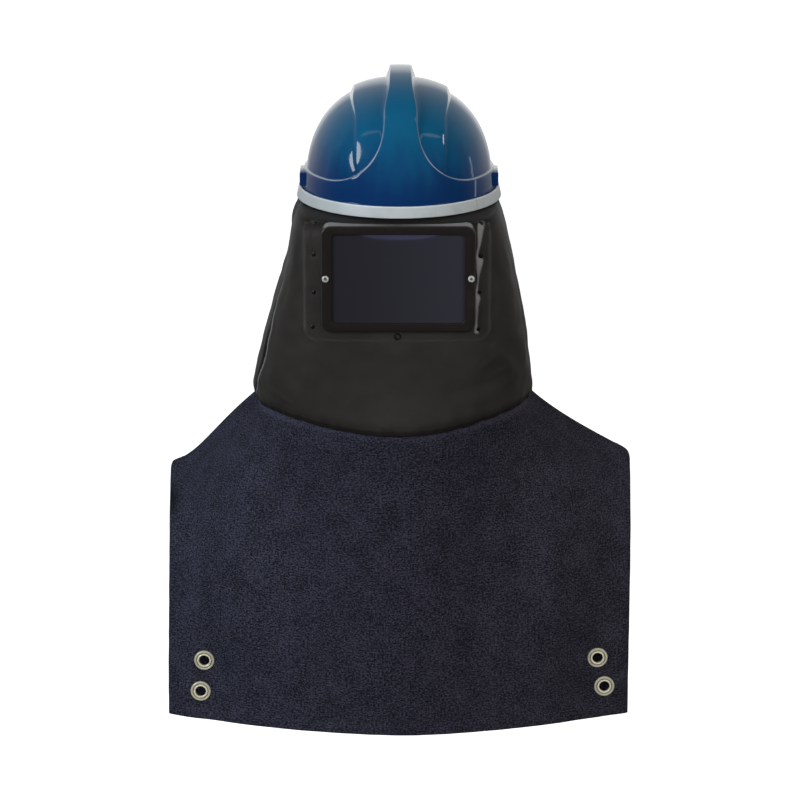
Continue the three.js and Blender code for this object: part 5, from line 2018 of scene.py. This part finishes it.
class AIRHOOD_OT_inlet(bpy.types.Operator):
    """Build the air inlet at the nape"""

    bl_idname = "air_hood.inlet"
    bl_label = "Air inlet"

    def execute(self, context):
        window = context.scene.air_hood_window
        plastic = moulding_finish("inlet_plastic", window.frame_colour, roughness=0.4)
        finish_piece(build_inlet(HoodShape()), plastic, ["air_inlet"])
        return {"FINISHED"}


def add_light(name, shape, place, aim, size, roll, power, colour, shows_in):
    """A flat light aimed at a point, which the camera doesn't see."""
    light = bpy.data.lights.new(name, "AREA")
    light.shape = shape
    light.size, light.size_y = size
    light.energy = power
    light.color = colour
    lamp = new_object(name, light)
    lamp.location = place
    level = (Vector(aim) - Vector(place)).to_track_quat("-Z", "Y")
    lamp.rotation_euler = (level @ Quaternion((0, 0, 1), math.radians(roll))).to_euler()
    lamp.visible_camera = False
    lamp.visible_diffuse = shows_in == "diffuse"
    lamp.visible_glossy = shows_in == "glossy"


def soft_room(stage):
    """World that is dim ahead of the object and bright behind it, as in front of a lit backdrop."""
    world = bpy.data.worlds.new("soft_room")
    world.use_nodes = True
    graph = Graph(world.node_tree)
    direction = graph.node("ShaderNodeTexCoord", output="Generated")
    behind = graph.part(direction, "Y")
    wide = graph.node("ShaderNodeMath", {"operation": "MAXIMUM"}, {0: behind, 1: 0.0}) ** ROOM.power
    level = graph.ramp(graph.part(direction, "Z"), *ROOM.level)
    core = graph.ramp(behind, *ROOM.core) * ROOM.core_share
    share = (wide * (1 - ROOM.core_share) + core) * (level * (1 - ROOM.lower) + ROOM.lower)
    colours = {0: share, 6: rgba(stage.room_colour), 7: rgba(stage.backdrop_colour)}
    glow = graph.node("ShaderNodeMix", {"data_type": "RGBA"}, colours, output=2)
    sky = graph.node("ShaderNodeBackground", inputs={"Color": glow, "Strength": 1.0})
    graph.node("ShaderNodeOutputWorld", inputs={"Surface": sky})
    return world


class AIRHOOD_OT_stage(bpy.types.Operator):
    """Set the camera, the floor and the studio lights"""

    bl_idname = "air_hood.stage"
    bl_label = "Stage"

    def execute(self, context):
        stage = context.scene.air_hood_stage
        target = Vector(stage.target)
        back = Vector((0, -math.cos(stage.elevation), math.sin(stage.elevation)))
        data = bpy.data.cameras.new("photo_camera")
        data.lens = stage.focal_length
        data.sensor_width = SENSOR_WIDTH
        data.clip_end = CLIP_END
        camera = new_object("photo_camera", data)
        camera.location = target + back * stage.distance
        camera.rotation_euler = (-back).to_track_quat("-Z", "Y").to_euler()
        context.scene.camera = camera
        signs = ((-1, -1), (1, -1), (1, 1), (-1, 1))
        corners = [(x * FLOOR_HALF, y * FLOOR_HALF, stage.floor_height) for x, y in signs]
        floor = mesh_object("floor", corners, [(0, 1, 2, 3)])
        floor.data.materials.append(floor_finish(stage))
        floor.visible_glossy = False
        floor.visible_diffuse = False
        context.scene.world = soft_room(stage)
        for row in LIGHTS:
            add_light(*row)
        context.scene.view_settings.view_transform = "Standard"
        return {"FINISHED"}


class AIRHOOD_PT_panel(bpy.types.Panel):
    """Lists the pieces that can be built"""

    bl_idname = "AIRHOOD_PT_panel"
    bl_label = "Air Hood"
    bl_space_type = "VIEW_3D"
    bl_region_type = "UI"
    bl_category = "Air Hood"

    def draw(self, context):
        for operator in OPERATORS:
            self.layout.operator(operator.bl_idname)


SETTINGS = {
    "air_hood_hat": AIRHOOD_PG_hat,
    "air_hood_band": AIRHOOD_PG_band,
    "air_hood_hood": AIRHOOD_PG_hood,
    "air_hood_window": AIRHOOD_PG_window,
    "air_hood_cape": AIRHOOD_PG_cape,
    "air_hood_fittings": AIRHOOD_PG_fittings,
    "air_hood_stage": AIRHOOD_PG_stage,
}
OPERATORS = (
    AIRHOOD_OT_stage,
    AIRHOOD_OT_hat,
    AIRHOOD_OT_band,
    AIRHOOD_OT_hood,
    AIRHOOD_OT_window,
    AIRHOOD_OT_fasteners,
    AIRHOOD_OT_cape,
    AIRHOOD_OT_eyelets,
    AIRHOOD_OT_inlet,
)


def register():
    for name, group in SETTINGS.items():
        bpy.utils.register_class(group)
        setattr(bpy.types.Scene, name, PointerProperty(type=group))
    for operator in OPERATORS:
        bpy.utils.register_class(operator)
    bpy.utils.register_class(AIRHOOD_PT_panel)


def unregister():
    bpy.utils.unregister_class(AIRHOOD_PT_panel)
    for operator in reversed(OPERATORS):
        bpy.utils.unregister_class(operator)
    for name, group in reversed(list(SETTINGS.items())):
        delattr(bpy.types.Scene, name)
        bpy.utils.unregister_class(group)


def main():
    """Builds the stage and every piece."""
    register()
    bpy.ops.air_hood.stage()
    bpy.ops.air_hood.hat()
    bpy.ops.air_hood.band()
    bpy.ops.air_hood.hood()
    bpy.ops.air_hood.window()
    bpy.ops.air_hood.fasteners()
    bpy.ops.air_hood.cape()
    bpy.ops.air_hood.eyelets()
    bpy.ops.air_hood.inlet()


if __name__ == "__main__":
    main()
